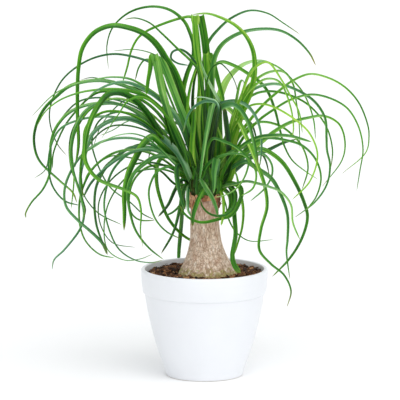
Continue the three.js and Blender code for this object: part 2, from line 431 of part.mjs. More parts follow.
// Smooth [radius, height] corners through a few of them.
function smoothProfile(corners, steps) {
  const curve = new THREE.SplineCurve(corners.map(([radius, z]) => new THREE.Vector2(radius, z)));
  return curve.getPoints(steps).map((point) => [point.x, point.y]);
}

// Inner face of the pot at a height.
function innerRadius(z) {
  const knots = [[FLOOR_THICKNESS, 41.5], [30, 50.6], [78, 62.8], [124, 70.2], [POT_HEIGHT, 70.4]];
  const upper = Math.max(1, knots.findIndex(([height]) => height >= z));
  const [z0, r0] = knots[upper - 1];
  const [z1, r1] = knots[upper];
  return r0 + (r1 - r0) * (z - z0) / (z1 - z0);
}

function makePot() {
  const bodyTop = [BODY_TOP_RADIUS, COLLAR_BOTTOM_Z - 1];
  const body = smoothProfile([[47, 6.2], [55.5, 30.4], [62.2, 54.4], [67.6, 78.5], bodyTop], 6);
  const lipMiddle = RIM_RADIUS - LIP_WIDTH / 2;
  const outside = [
    [0, 0],
    [FOOT_RADIUS, 0],
    [FOOT_RADIUS + FOOT_ROUNDING, FOOT_ROUNDING],
    ...body,
    [COLLAR_BOTTOM_RADIUS, COLLAR_BOTTOM_Z],
    [73.6, 103],
    [74.5, 110],
    [RIM_RADIUS, 118],
    [RIM_RADIUS, POT_HEIGHT - 1.8],
    [RIM_RADIUS - 0.8, POT_HEIGHT - 0.5],
    [lipMiddle, POT_HEIGHT],
    [RIM_RADIUS - LIP_WIDTH + 0.6, POT_HEIGHT - 0.6],
  ];
  const inside = [124, 78, 30, FLOOR_THICKNESS].map((z) => [innerRadius(z), z]);
  return turned([...outside, ...inside, [0, FLOOR_THICKNESS]], POT_SIDES);
}

// Stem: [radius, height] corners, up from its foot in the mix.
const STEM_PROFILE = [
  [0, STEM_FOOT_Z], [20, 92], [31, 97], [36, 105], [36.8, 113], [35, 121], [32.4, 126.5], [26.3, 138],
  [21.4, 150], [18.6, 162], [17.4, 174], [NECK_RADIUS, 186], [NECK_RADIUS, 200],
  [NECK_RADIUS - 0.6, STEM_TOP_Z], [0, STEM_TOP_Z],
];

// How far the middle of the stem stands right of the pot's axis: most at the soil, none at the neck.
function stemLean(z) {
  return STEM_LEAN * THREE.MathUtils.smoothstep(-z, -LEAN_TO_Z, -LEAN_FROM_Z);
}

// Cracks and long ripples pressed into the stem, and its lean.
function shiftStem(geometry, fissure) {
  const place = geometry.attributes.position;
  for (let i = 0; i < place.count; i += 1) {
    const [x, y, z] = [place.getX(i), place.getY(i), place.getZ(i)];
    const turn = Math.atan2(y, x);
    const crack = Math.max(0, Math.cos(7 * turn + 1.3 * Math.sin(z / 14) + z / 40)) ** 2;
    const ripple = 0.5 + 0.5 * Math.sin(3 * turn + z / 19);
    const reach = Math.hypot(x, y);
    const scale = reach > 1 ? 1 - fissure * (crack + ripple) / reach : 1;
    place.setXYZ(i, x * scale + stemLean(z), y * scale, z);
  }
  return geometry;
}

function makeStem() {
  return shiftStem(turned(STEM_PROFILE, STEM_SIDES), FISSURE_DEPTH);
}

// The plain hole that the stem stands in.
function stemHole() {
  const clearance = 2 * GAP + FISSURE_DEPTH;
  const wall = STEM_PROFILE.slice(1, 8).map(([radius, z]) => [radius + clearance, z]);
  const [[footRadius], [, topZ]] = [wall[0], wall[wall.length - 1]];
  const corners = [[0, STEM_FOOT_Z - GAP], [footRadius, STEM_FOOT_Z - GAP], ...wall, [0, topZ]];
  return toSolid(shiftStem(turned(corners, STEM_SIDES), 0));
}

// Height of the uneven mix over its mean level.
function soilHeight(x, y) {
  const long = Math.sin(x / 9 + 1) * Math.cos(y / 11);
  const short = Math.sin(x / 3.7 + y / 6.1) * Math.cos(y / 4.3 - x / 8.3);
  return SOIL_LUMP * (0.5 * long + 0.6 * short);
}

function makeSoil() {
  const wallHeights = [FLOOR_THICKNESS + GAP, 30, 78, SOIL_Z - 1.5];
  const wall = wallHeights.map((z) => [innerRadius(z) - 2 * GAP, z]);
  const edge = innerRadius(SOIL_Z) - 1.6;
  const top = [edge, 64, 58, 52, 46, 40, 34].map((radius) => [radius, SOIL_Z]);
  const geometry = turned([[0, wall[0][1]], ...wall, ...top, [0, SOIL_Z]], SOIL_SIDES);
  const place = geometry.attributes.position;
  for (let i = 0; i < place.count; i += 1) {
    if (place.getZ(i) > SOIL_Z - 0.5) {
      place.setZ(i, SOIL_Z + soilHeight(place.getX(i), place.getY(i)));
    }
  }
  let soil = toSolid(geometry).subtract(stemHole());
  const draw = seededDraw(CHIP_SEED);
  for (let i = 0; i < CHIP_COUNT; i += 1) {
    const length = 6 + 6 * draw();
    const chip = new THREE.BoxGeometry(length, length * (0.45 + 0.3 * draw()), 2.4 + 1.6 * draw());
    const turn = i * GOLDEN_TURN;
    const reach = 46 + 17 * Math.sqrt((i + 0.5) / CHIP_COUNT);
    chip.rotateX(0.5 * (draw() - 0.5));
    chip.rotateY(0.5 * (draw() - 0.5));
    chip.rotateZ(Math.PI * draw());
    chip.translate(reach * Math.cos(turn), reach * Math.sin(turn), SOIL_Z + 0.5);
    soil = soil.add(toSolid(chip));
  }
  return toGeometry(soil);
}

// A ring of torn, dry leaf bases: a thin sleeve with ragged points that hang and curl outward.
function makeTatters() {
  const inner = NECK_RADIUS + 2 * GAP;
  const middleZ = (TATTER_BOTTOM_Z + TATTER_TOP_Z) / 2;
  const sleeve = turned([
    [inner, TATTER_BOTTOM_Z], [inner + 1.6, TATTER_BOTTOM_Z], [inner + 2.6, middleZ],
    [inner + 1.4, TATTER_TOP_Z], [inner, TATTER_TOP_Z], [inner, TATTER_BOTTOM_Z],
  ], TATTER_SIDES);
  let ring = toSolid(sleeve);
  const draw = seededDraw(TATTER_SEED);
  for (let i = 0; i < TATTER_COUNT; i += 1) {
    const length = 8 + 5 * draw();
    const point = new THREE.ConeGeometry(2.4 + draw(), length, 4);
    point.translate(0, length / 2, 0);
    point.scale(1, 1, 0.3);
    point.rotateX(0.2 + 0.4 * draw() - Math.PI / 2);
    point.translate(0, inner + 1.3, TATTER_TOP_Z - 3.6 - 7 * draw());
    point.rotateZ(i * GOLDEN_TURN + 0.2 * draw());
    ring = ring.add(toSolid(point));
  }
  return toGeometry(ring);
}

// Where the eye stands: it looks along its dip at a point on the plant's axis.
const FORWARD = new THREE.Vector3(0, Math.cos(EYE_DIP), -Math.sin(EYE_DIP));
const UPWARD = new THREE.Vector3(0, Math.sin(EYE_DIP), Math.cos(EYE_DIP));
const AIM_Z = (FLOOR_ROW - PICTURE_CENTRE) * MM_PER_UNIT / Math.cos(EYE_DIP);
const AIM = new THREE.Vector3((PICTURE_CENTRE - PLANT_AXIS) * MM_PER_UNIT, 0, AIM_Z);
const EYE = AIM.clone().addScaledVector(FORWARD, -EYE_DISTANCE);

// The point of a sight line that lies at a depth: minus is nearer than the stem, plus is behind it.
function seenAt([column, row], depth) {
  const sight = FORWARD.clone().multiplyScalar(EYE_DISTANCE);
  sight.x += (column - PICTURE_CENTRE) * MM_PER_UNIT;
  sight.addScaledVector(UPWARD, (PICTURE_CENTRE - row) * MM_PER_UNIT);
  return EYE.clone().addScaledVector(sight, (depth - EYE.y) / sight.y);
}

// A leaf rises with little depth, swings out in its middle and hangs level with its tip.
function depthShare(share) {
  return 0.35 * share + 0.65 * share * share * (3 - 2 * share);
}

// The bends of a route in space, with the leaf's depth shared out along it.
function routePoints(depth, route) {
  const lengths = [0];
  for (let i = 1; i < route.length; i += 1) {
    const step = Math.hypot(route[i][0] - route[i - 1][0], route[i][1] - route[i - 1][1]);
    lengths.push(lengths[i - 1] + step);
  }
  const whole = lengths[lengths.length - 1];
  return route.map(([column, row, nearer = 0], i) => {
    return seenAt([column, row], depth * depthShare(lengths[i] / whole) - nearer);
  });
}

// Places along a curve for the rings: close where it bends, far apart where it runs straight.
function ringPlaces(curve, longestStep, largestTurn) {
  const fine = 240;
  const effort = [0];
  let before = curve.getTangent(0);
  let last = curve.getPoint(0);
  for (let i = 1; i <= fine; i += 1) {
    const here = curve.getPoint(i / fine);
    const direction = curve.getTangent(i / fine);
    const share = here.distanceTo(last) / longestStep + direction.angleTo(before) / largestTurn;
    effort.push(effort[i - 1] + share);
    before = direction;
    last = here;
  }
  const count = Math.ceil(effort[fine]);
  const places = [0];
  for (let ring = 1; ring < count; ring += 1) {
    const wanted = effort[fine] * ring / count;
    places.push(effort.findIndex((value) => value >= wanted) / fine);
  }
  return places;
}

// How wide a leaf is along its length: a slightly narrow root, then from a place on a long even taper.
function widthShare(share, tipShare, taperFrom) {
  const root = 0.8 + 0.2 * Math.min(1, share / ROOT_SHARE);
  return root * (1 + (tipShare - 1) * Math.max(0, share - taperFrom) / (1 - taperFrom));
}

// Half the width that a place of the curve has room for: a blade can't be bent sharply edgewise.
function roomAt(curve, place, across) {
  const [from, to] = [Math.max(0, place - BEND_REACH), Math.min(1, place + BEND_REACH)];
  const swing = curve.getTangent(to).sub(curve.getTangent(from)).dot(across);
  return BEND_ROOM * curve.getPoint(to).distanceTo(curve.getPoint(from)) / Math.max(1e-6, Math.abs(swing));
}

// The way a blade lies across its curve: square to the sight line, but carried on over a sharp fold and
// where the blade runs along the sight line.
function acrossAt(middle, along, last) {
  const square = middle.clone().sub(EYE).normalize().cross(along);
  const clearness = square.length();
  square.normalize();
  if (last === null) return square;
  if (square.dot(last.across) < 0) square.negate();
  const carried = last.across.clone().addScaledVector(along, -last.across.dot(along)).normalize();
  const bend = along.angleTo(last.along) / middle.distanceTo(last.middle);
  const trust = bend < SHARP_FOLD ? THREE.MathUtils.smoothstep(clearness, 0.3, 0.8) : 0;
  const allowed = LARGEST_TWIST / Math.max(1e-6, carried.angleTo(square));
  return carried.lerp(square, Math.min(trust, allowed)).normalize();
}

// One blade: three-cornered rings along its curve, closed at the root and brought to a point at the tip.
// Both faces are split along like diagonals, so that they don't cross where the blade twists.
function blade({ points, width, tip, turn, taperFrom }) {
  const curve = new THREE.CatmullRomCurve3(points, false, "centripetal");
  const places = ringPlaces(curve, LONGEST_STEP, LARGEST_TURN);
  const corners = [];
  let last = null;
  for (const place of places) {
    const middle = curve.getPoint(place);
    const along = curve.getTangent(place);
    last = { middle, along, across: acrossAt(middle, along, last) };
    const across = last.across.clone().applyAxisAngle(along, turn);
    const under = along.clone().cross(across).normalize();
    const wanted = 0.5 * width * widthShare(place, tip / width, taperFrom);
    const half = Math.max(NARROWEST_HALF, Math.min(wanted, roomAt(curve, place, across)));
    const keel = Math.max(THINNEST_KEEL, 2 * half * KEEL_SHARE);
    corners.push(middle.clone().addScaledVector(across, -half));
    corners.push(middle.clone().addScaledVector(across, half));
    corners.push(middle.clone().addScaledVector(under, keel));
  }
  const rings = places.length;
  corners.push(curve.getPoint(1));
  const end = corners.length - 1;
  const triangles = [0, 2, 1];
  for (let ring = 1; ring < rings; ring += 1) {
    for (let side = 0; side < 3; side += 1) {
      const a = 3 * (ring - 1) + side;
      const b = 3 * (ring - 1) + (side + 1) % 3;
      if (side === 0) triangles.push(a, b, a + 3, b, b + 3, a + 3);
      else triangles.push(a, b, b + 3, a, b + 3, a + 3);
    }
  }
  const lastRing = 3 * (rings - 1);
  for (let side = 0; side < 3; side += 1) {
    triangles.push(lastRing + side, lastRing + (side + 1) % 3, end);
  }
  const geometry = new THREE.BufferGeometry().setFromPoints(corners);
  geometry.setIndex(triangles);
  return geometry;
}

// The tight sheaths in the middle of the head.
function makeCore() {
  const corners = [
    [0, CORE_BOTTOM_Z], [15.4, CORE_BOTTOM_Z], [17.4, 217], [19.4, 224], [18.6, 231], [14, 243], [8.5, 255],
    [0, CORE_TOP_Z],
  ];
  return toSolid(turned(corners, CORE_SIDES));
}

function makeLeafHead() {
  const blades = Object.values(LEAF_ROUTES).map(([width, tip, depth, route, taperFrom = ROOT_SHARE]) => {
    const offsets = route.map(([column]) => (PLANT_AXIS - column) * MM_PER_UNIT);
    const sideways = Math.max(...offsets) + Math.min(...offsets);
    const turn = SIDE_TURN * sideways / (Math.abs(sideways) + Math.abs(depth) + UPRIGHT_ROOM);
    const points = routePoints(DEPTH_SPREAD * depth, route);
    return { points, width: width / Math.cos(turn), tip, turn, taperFrom };
  });
  const solids = blades.map((one) => toSolid(blade(one)));
  return toGeometry(wasm.Manifold.union([makeCore(), ...solids]));
}

const plant = new THREE.Group();
plant.add(
  namedMesh("pot", makePot(), 0xf4f5f4, 0.3),
  namedMesh("soil", makeSoil(), 0x4a3020, 0.95),
  namedMesh("stem", makeStem(), 0xbfa888, 0.9),
  namedMesh("dry_leaf_bases", makeTatters(), 0x8a5a34, 0.85),
  namedMesh("leaf_head", makeLeafHead(), 0x4a8a22, 0.45),
);

export default plant;
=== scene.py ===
# %% [markdown]
# # Potted ponytail palm
# A young ponytail palm is one swollen, corky stem with a fountain of long strap leaves on top of it. It
# stands in bark mix, in a plain white pot with a collar. This lesson dresses the imported solid model: it
# rebuilds each of its pieces as a fine mesh in the same place, and gives each one a finish made of nodes.
# The imported model comes first, because everything else is placed by it. Its box is kept, to be printed
# at the end beside the box of the dressed plant.

import math

import bmesh
import bpy
import numpy as np
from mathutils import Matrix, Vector, noise


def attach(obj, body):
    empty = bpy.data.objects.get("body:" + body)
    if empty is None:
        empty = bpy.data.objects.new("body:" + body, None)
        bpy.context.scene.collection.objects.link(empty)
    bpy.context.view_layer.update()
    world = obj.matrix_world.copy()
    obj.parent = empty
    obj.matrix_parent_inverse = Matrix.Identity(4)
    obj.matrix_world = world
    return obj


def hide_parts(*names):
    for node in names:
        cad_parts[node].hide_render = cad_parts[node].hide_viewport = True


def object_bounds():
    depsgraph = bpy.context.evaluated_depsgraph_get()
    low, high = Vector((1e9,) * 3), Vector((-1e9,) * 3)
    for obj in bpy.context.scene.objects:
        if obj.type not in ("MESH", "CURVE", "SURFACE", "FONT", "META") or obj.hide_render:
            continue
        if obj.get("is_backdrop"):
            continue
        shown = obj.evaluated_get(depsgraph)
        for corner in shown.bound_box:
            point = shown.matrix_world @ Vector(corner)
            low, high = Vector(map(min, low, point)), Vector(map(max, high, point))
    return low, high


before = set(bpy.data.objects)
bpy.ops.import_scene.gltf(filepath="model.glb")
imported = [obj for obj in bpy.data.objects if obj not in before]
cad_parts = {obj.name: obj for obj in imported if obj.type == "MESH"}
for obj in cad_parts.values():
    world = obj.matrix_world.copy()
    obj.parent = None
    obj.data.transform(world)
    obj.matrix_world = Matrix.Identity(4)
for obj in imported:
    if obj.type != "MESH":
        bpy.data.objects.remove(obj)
CAD_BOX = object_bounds()
MM = 0.001
print("Packed pieces:", ", ".join(sorted(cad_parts)))

# %% [markdown]
# ## The eye
# The leaves are placed by a far eye that looks a little down on the plant, as the photographer's long
# lens did. The eye sees the plant as an upright picture of 400 units a side, with x to the right and y
# down. The camera stands at that same eye, so that each leaf is seen where its route says. A camera
# could be fitted by hand instead, but then every later change of the leaves would need a new fit.

# %% Eye and camera
PICTURE_SIZE = 400
PICTURE_CENTRE = 200
PLANT_AXIS = 204.5
FLOOR_ROW = 375.2
MM_PER_UNIT = 1.18
EYE_DISTANCE = 5000.0
EYE_DIP = math.radians(9.5)
SENSOR_WIDTH = 36

FORWARD = np.array([0.0, math.cos(EYE_DIP), -math.sin(EYE_DIP)])
UPWARD = np.array([0.0, math.sin(EYE_DIP), math.cos(EYE_DIP)])
AIM_HEIGHT = (FLOOR_ROW - PICTURE_CENTRE) * MM_PER_UNIT / math.cos(EYE_DIP)
AIM = np.array([(PICTURE_CENTRE - PLANT_AXIS) * MM_PER_UNIT, 0.0, AIM_HEIGHT])
EYE = AIM - EYE_DISTANCE * FORWARD

lens = bpy.data.cameras.new("far_eye")
lens.sensor_width = SENSOR_WIDTH
lens.lens = SENSOR_WIDTH * EYE_DISTANCE / (PICTURE_SIZE * MM_PER_UNIT)
camera = bpy.data.objects.new("far_eye", lens)
camera.location = EYE * MM
camera.rotation_euler = (math.pi / 2 - EYE_DIP, 0, 0)
bpy.context.collection.objects.link(camera)
bpy.context.scene.camera = camera
print(f"The eye stands {EYE_DISTANCE * MM:.1f} m away, with a lens of {lens.lens:.0f} mm")

# %% [markdown]
# ## Making meshes
# Every piece is made of points and faces worked out here, because a leaf, a crack in bark and a bark chip
# each need their own rule. One helper turns the numbers into an object. It also ties the piece to the
# imported model: the piece rides on the plant's only body and stands for one imported node. Values such
# as "how far along the leaf" are stored on the points, so that the finishes can read them.

# %% From numbers to a piece
def add_piece(name, points, faces, material, stands_for, slot, values=(), rims=None, smooth=True):
    """Makes a mesh object of points in millimetres, with named values on its points."""
    mesh = bpy.data.meshes.new(name)
    mesh.from_pydata((np.asarray(points) * MM).tolist(), [], faces)
    mesh.polygons.foreach_set("use_smooth", np.full(len(mesh.polygons), smooth))
    for title, numbers in dict(values).items():
        layer = mesh.attributes.new(title, "FLOAT", "POINT")
        layer.data.foreach_set("value", np.asarray(numbers, dtype=np.float32))
    if rims is not None:
        ends = np.empty(len(mesh.edges) * 2, dtype=np.int32)
        mesh.edges.foreach_get("vertices", ends)
        mesh.edges.foreach_set("use_edge_sharp", rims[ends].reshape(-1, 2).all(axis=1))
    mesh.update()
    mesh.materials.append(material)
    piece = bpy.data.objects.new(name, mesh)
    bpy.context.collection.objects.link(piece)
    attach(piece, "root")
    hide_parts(stands_for)
    triangles = sum(len(face) - 2 for face in faces)
    print(f"{name}: {len(points)} points, {triangles} triangles")
    return piece


def capped_faces(ring_count, sides):
    """Faces of a body of rings. Point 0 closes the first ring, and point 1 the last."""
    faces = []
    last = 2 + (ring_count - 1) * sides
    for i in range(sides):
        j = (i + 1) % sides
        faces.append((0, 2 + j, 2 + i))
        faces.append((1, last + i, last + j))
        for ring in range(ring_count - 1):
            low = 2 + ring * sides
            faces.append((low + i, low + j, low + sides + j, low + sides + i))
    return faces


def turned(profile, sides):
    """Points and faces of a solid of revolution. The profile starts and ends on the axis."""
    angles = np.arange(sides) * 2 * math.pi / sides
    rings = np.array(profile[1:-1])
    radii = rings[:, 0, None]
    x = radii * np.cos(angles)
    y = radii * np.sin(angles)
    z = np.repeat(rings[:, 1, None], sides, axis=1)
    points = [[0, 0, profile[0][1]], [0, 0, profile[-1][1]]]
    points += np.stack([x, y, z], axis=-1).reshape(-1, 3).tolist()
    return np.array(points), capped_faces(len(rings), sides)


def smoothstep(values, low, high):
    """A soft step from 0 at low to 1 at high."""
    share = np.clip((np.asarray(values) - low) / (high - low), 0, 1)
    return share * share * (3 - 2 * share)


print("Mesh helpers ready")

# %% [markdown]
# ## Curves
# Outlines and leaves both run smoothly through a few chosen points. A Catmull-Rom curve does that, and
# its centripetal form doesn't overshoot where points lie close together. Blender's own curves could be
# used, but here the leaf also needs the curve's direction at any place, which plain numbers give at once.

# %% A smooth curve through points
def bend_between(p0, p1, p2, p3, share):
    """One stretch of a centripetal Catmull-Rom curve, from p1 to p2."""
    gaps = [np.sum((b - a) ** 2) ** 0.25 for a, b in ((p0, p1), (p1, p2), (p2, p3))]
    middle_gap = gaps[1] if gaps[1] > 1e-4 else 1.0
    first_gap = gaps[0] if gaps[0] > 1e-4 else middle_gap
    third_gap = gaps[2] if gaps[2] > 1e-4 else middle_gap
    start = (p1 - p0) / first_gap - (p2 - p0) / (first_gap + middle_gap) + (p2 - p1) / middle_gap
    end = (p2 - p1) / middle_gap - (p3 - p1) / (middle_gap + third_gap) + (p3 - p2) / third_gap
    start = start * middle_gap
    end = end * middle_gap
    share = share[:, None]
    square = 3 * (p2 - p1) - 2 * start - end
    cube = 2 * (p1 - p2) + start + end
    return p1 + start * share + square * share ** 2 + cube * share ** 3


def smooth_curve(points, places):
    """The points of a smooth curve at places from 0, its first point, to 1, its last."""
    points = np.asarray(points, dtype=float)
    padded = np.vstack([2 * points[0] - points[1], points, 2 * points[-1] - points[-2]])
    stretches = len(points) - 1
    wanted = np.asarray(places, dtype=float) * stretches
    stretch = np.minimum(wanted.astype(int), stretches - 1)
    line = np.empty((len(wanted), points.shape[1]))
    for i in range(stretches):
        inside = stretch == i
        line[inside] = bend_between(*padded[i:i + 4], wanted[inside] - i)
    return line


print("Halfway over a small hill:", smooth_curve([[0, 0], [1, 1], [2, 0]], [0.5])[0])

# %% [markdown]
# ## Shader maths in Python
# A finish is a small graph of nodes. Placing each Math node by hand hides what is being worked out, so a
# small class wraps a node's socket and lets Python's own signs add the nodes: 1 - mask adds a Subtract
# node. Colours and vectors go through Mix and Vector Math nodes, because a Math node turns them grey.
# Every other node comes from one method, which sets the node's settings first and then its sockets.

# %% Sockets that can be calculated with
class Wire:
    """A socket of a material's nodes. Plus, minus and times add Math nodes."""

    def __init__(self, finish, socket):
        self.finish = finish
        self.socket = socket

    def math(self, operation, first, second):
        return self.finish.node("Math", {"operation": operation}, {0: first, 1: second})

    def __add__(self, other):
        return self.math("ADD", self, other)

    def __radd__(self, other):
        return self.math("ADD", other, self)

    def __sub__(self, other):
        return self.math("SUBTRACT", self, other)

    def __rsub__(self, other):
        return self.math("SUBTRACT", other, self)

    def __mul__(self, other):
        return self.math("MULTIPLY", self, other)

    def __rmul__(self, other):
        return self.math("MULTIPLY", other, self)

class Finish:
    """A material in the making."""

    def __init__(self, name):
        self.material = bpy.data.materials.new(name)
        self.material.use_nodes = True
        self.tree = self.material.node_tree
        self.tree.nodes.clear()

    def node(self, kind, settings=(), sockets=(), output=0):
        made = self.tree.nodes.new("ShaderNode" + kind)
        for title, value in dict(settings).items():
            if title == "stops":
                while len(made.color_ramp.elements) < len(value):
                    made.color_ramp.elements.new(0.5)
                for element, (place, colour) in zip(made.color_ramp.elements, value):
                    element.position = place
                    element.color = (*colour, 1)
            else:
                setattr(made, title, value)
        for title, value in dict(sockets).items():
            if isinstance(value, Wire):
                self.tree.links.new(value.socket, made.inputs[title])
            else:
                made.inputs[title].default_value = value
        return Wire(self, made.outputs[output])

    def stored(self, title):
        """A value that the mesh keeps on its points."""
        return self.node("Attribute", {"attribute_name": title}, output="Fac")

    def place(self):
        """A point's place on the object, in metres."""
        return self.node("TexCoord", output="Object")

    def stretched(self, vector, scale):
        """A place, scaled along each axis."""
        return self.node("VectorMath", {"operation": "MULTIPLY"}, {0: vector, 1: scale})

    def grain(self, vector, scale, detail=3.0, roughness=0.55):
        """Soft noise from 0 to 1."""
        sockets = {"Vector": vector, "Scale": scale, "Detail": detail, "Roughness": roughness}
        return self.node("TexNoise", {}, sockets)

    def band(self, value, low, high):
        """0 under low, 1 over high, and a soft step between them."""
        settings = {"interpolation_type": "SMOOTHSTEP"}
        return self.node("MapRange", settings, {"Value": value, "From Min": low, "From Max": high})

    def mix(self, share, first, second):
        """A colour between two colours."""
        sockets = {0: share, 6: self.opaque(first), 7: self.opaque(second)}
        return self.node("Mix", {"data_type": "RGBA"}, sockets, output=2)

    @staticmethod
    def opaque(colour):
        return colour if isinstance(colour, Wire) else (*colour, 1)

    def bump(self, height, strength, distance):
        """A normal that follows a height."""
        sockets = {"Height": height, "Strength": strength, "Distance": distance}
        return self.node("Bump", {}, sockets)

    def coat_with(self, sockets):
        """Ends the finish in a surface, and hands back the material."""
        surface = self.node("BsdfPrincipled", {}, sockets)
        out = self.tree.nodes.new("ShaderNodeOutputMaterial")
        self.tree.links.new(surface.socket, out.inputs["Surface"])
        print(f"{self.material.name}: {len(self.tree.nodes)} nodes")
        return self.material


def hue(red, green, blue):
    """A colour as it is picked on a screen, from 0 to 255, turned into linear light."""
    shares = [value / 255 for value in (red, green, blue)]
    return tuple(s / 12.92 if s <= 0.04045 else ((s + 0.055) / 1.055) ** 2.4 for s in shares)

# %% [markdown]
# ## The white pot
# The pot is slip-cast or moulded in one piece: a body that tapers to its foot, and a collar that stands
# a little proud of it. It could be cut and bevelled by hand, but its shape is one outline turned round
# the axis. The corners of the outline get their fillets here, since the soft light along the lip and
# under the collar is most of what is seen of a white pot. Underneath it has a foot ring.

# %% The pot's outline and its mesh
POT_HEIGHT = 128
RIM_RADIUS = 75
LIP_WIDTH = 4.6
COLLAR_BOTTOM_Z = 99
POT_FLOOR_Z = 6
POT_SIDES = 192
INNER_WALL = [(41.5, POT_FLOOR_Z), (50.6, 30), (62.8, 78), (70.2, 124), (70.4, POT_HEIGHT)]


def inner_radius(z):
    """The inside of the pot at a height."""
    radii, heights = zip(*INNER_WALL)
    return np.interp(z, heights, radii)


def filleted(corners, steps=6):
    """An outline of (radius, height, fillet) corners with an arc at each corner that has a fillet."""
    outline = []
    for i, (radius, z, fillet) in enumerate(corners):
        here = np.array([radius, z], dtype=float)
        if fillet == 0:
            outline.append(here)
            continue
        back = np.array(corners[i - 1][:2]) - here
        on = np.array(corners[i + 1][:2]) - here
        back_length, on_length = np.linalg.norm(back), np.linalg.norm(on)
        back, on = back / back_length, on / on_length
        half_angle = math.acos(np.clip(back @ on, -1, 1)) / 2
        reach = min(fillet / math.tan(half_angle), 0.48 * back_length, 0.48 * on_length)
        for share in np.linspace(0, 1, steps + 1):
            first = here + back * reach * (1 - share)
            second = here + on * reach * share
            outline.append(first + (second - first) * share)
    return outline


BODY_WALL = [(46.2, 2.6), (47.6, 8.5), (55.5, 30.4), (62.2, 54.4), (67.6, 78.5), (70.9, 97.6)]
body_curve = smooth_curve(BODY_WALL, np.linspace(0, 1, 31))
pot_corners = [(0, 1, 0), (37, 1, 0.5), (38.6, 0, 0.5), (45, 0, 1.9)]
pot_corners += [(radius, z, 0) for radius, z in body_curve]
pot_corners += [
    (71.1, COLLAR_BOTTOM_Z - 0.3, 0.9), (72.9, COLLAR_BOTTOM_Z + 0.9, 1.5), (74.4, 110, 30),
    (RIM_RADIUS, 119, 30), (RIM_RADIUS, POT_HEIGHT, 2.1), (RIM_RADIUS - LIP_WIDTH, POT_HEIGHT, 1.6),
]
pot_corners += [(radius, z, 0) for radius, z in reversed(INNER_WALL[1:-1])]
pot_corners += [(INNER_WALL[0][0], POT_FLOOR_Z, 5), (0, POT_FLOOR_Z, 0)]
pot_points, pot_faces = turned(filleted(pot_corners), POT_SIDES)
print("The pot's outline has", len(filleted(pot_corners)), "points")

# %% [markdown]
# ## Satin glaze
# The glaze is a slightly cool white, more satin than mirror. Real glaze is never quite even: it pools by
# a hair, its gloss wanders, and its surface has a fine orange peel. One noise gives the pooling and the
# wandering gloss, and a second noise the peel.
# The unglazed foot ring is found by height alone.

# %% The glaze and the pot
glaze = Finish("satin_white_glaze")
spot = glaze.place()
height = glaze.node("SeparateXYZ", {}, {0: spot}, output="Z")
pooling = glaze.grain(spot, 26)
peel = glaze.grain(spot, 620, detail=2)
foot_mask = 1 - glaze.band(height, 0.0002, 0.0012)
white = glaze.mix(pooling, hue(234, 236, 241), hue(240, 242, 245))
glazed = glaze.mix(foot_mask, white, hue(222, 216, 205))
pot_glaze = glaze.coat_with({
    "Base Color": glazed,
    "Roughness": 0.3 + pooling * 0.12 + foot_mask * 0.4,
    "Normal": glaze.bump(peel, 0.12, 0.0004),
    "IOR": 1.5,
    "Coat Weight": 0.25,
    "Coat Roughness": 0.2,
})
add_piece("white_pot", pot_points, pot_faces, pot_glaze, "pot", "pot_glaze")

# %% [markdown]
# ## The stem's shape
# The stem is a column that swells to a flask at the soil. Its bark is corky: long upright islands with
# cracks between them, a few millimetres wide. Sculpting them would be slow, and a bump alone would leave
# the outline smooth. So the rings of points are pressed in along the cracks, by cells of noise that are
# stretched upward. The islands near the soil are wider, because the stem grew most there. Seven long
# shallow fissures run up the stem, as on the solid model, and fine rings on its neck are the scars of
# fallen leaves. The islands stand out about as far as the fissures go in, so the bark keeps the size of
# the solid.

# %% Rings of the stem
STEM_PROFILE = [
    (0, 91), (20, 92), (31, 97), (36, 105), (36.8, 113), (35, 121), (32.4, 126.5), (26.3, 138),
    (21.4, 150), (18.6, 162), (17.4, 174), (16.9, 186), (16.9, 200), (16.3, 213), (0, 213),
]
STEM_LEAN = 3.6
LEAN_FROM_Z = 118
LEAN_TO_Z = 195
FISSURE_DEPTH = 0.6
STEM_SIDES = 330
STEM_RINGS = 250
ISLAND_WIDTH = 2.3
ISLAND_HEIGHT = 9.5
CRACK_DEPTH = 0.75
CRACKS_FROM_Z = 110
FISSURES = 7
ISLAND_RISE = 0.5
SCAR_DEPTH = 0.35


def stem_lean(z):
    """How far the stem's middle stands right of the pot's axis."""
    return STEM_LEAN * smoothstep(-np.asarray(z, dtype=float), -LEAN_TO_Z, -LEAN_FROM_Z)


def island_edges(x, y, z):
    """How open the crack is at a point of the bark: 1 in its middle, 0 on an island."""
    swell = 1 + 0.5 * smoothstep(-z, -160, -125)
    wander = noise.noise(Vector((x / 9, y / 9, z / 16))) * 2.2
    width = ISLAND_WIDTH * swell
    spot = Vector(((x + wander) / width, (y - wander) / width, z / (ISLAND_HEIGHT * swell)))
    distances = noise.voronoi(spot)[0]
    return float(1 - smoothstep(distances[1] - distances[0], 0.02, 0.2))


stem_outline = smooth_curve(STEM_PROFILE[1:-1], np.linspace(0, 1, 401))
length_along = np.concatenate([[0], np.cumsum(np.linalg.norm(np.diff(stem_outline, axis=0), axis=1))])
even = np.linspace(0, length_along[-1], STEM_RINGS)
ring_radii = np.interp(even, length_along, stem_outline[:, 0])
ring_heights = np.interp(even, length_along, stem_outline[:, 1])
even_profile = [STEM_PROFILE[0], *zip(ring_radii, ring_heights), STEM_PROFILE[-1]]
stem_points, stem_faces = turned(even_profile, STEM_SIDES)

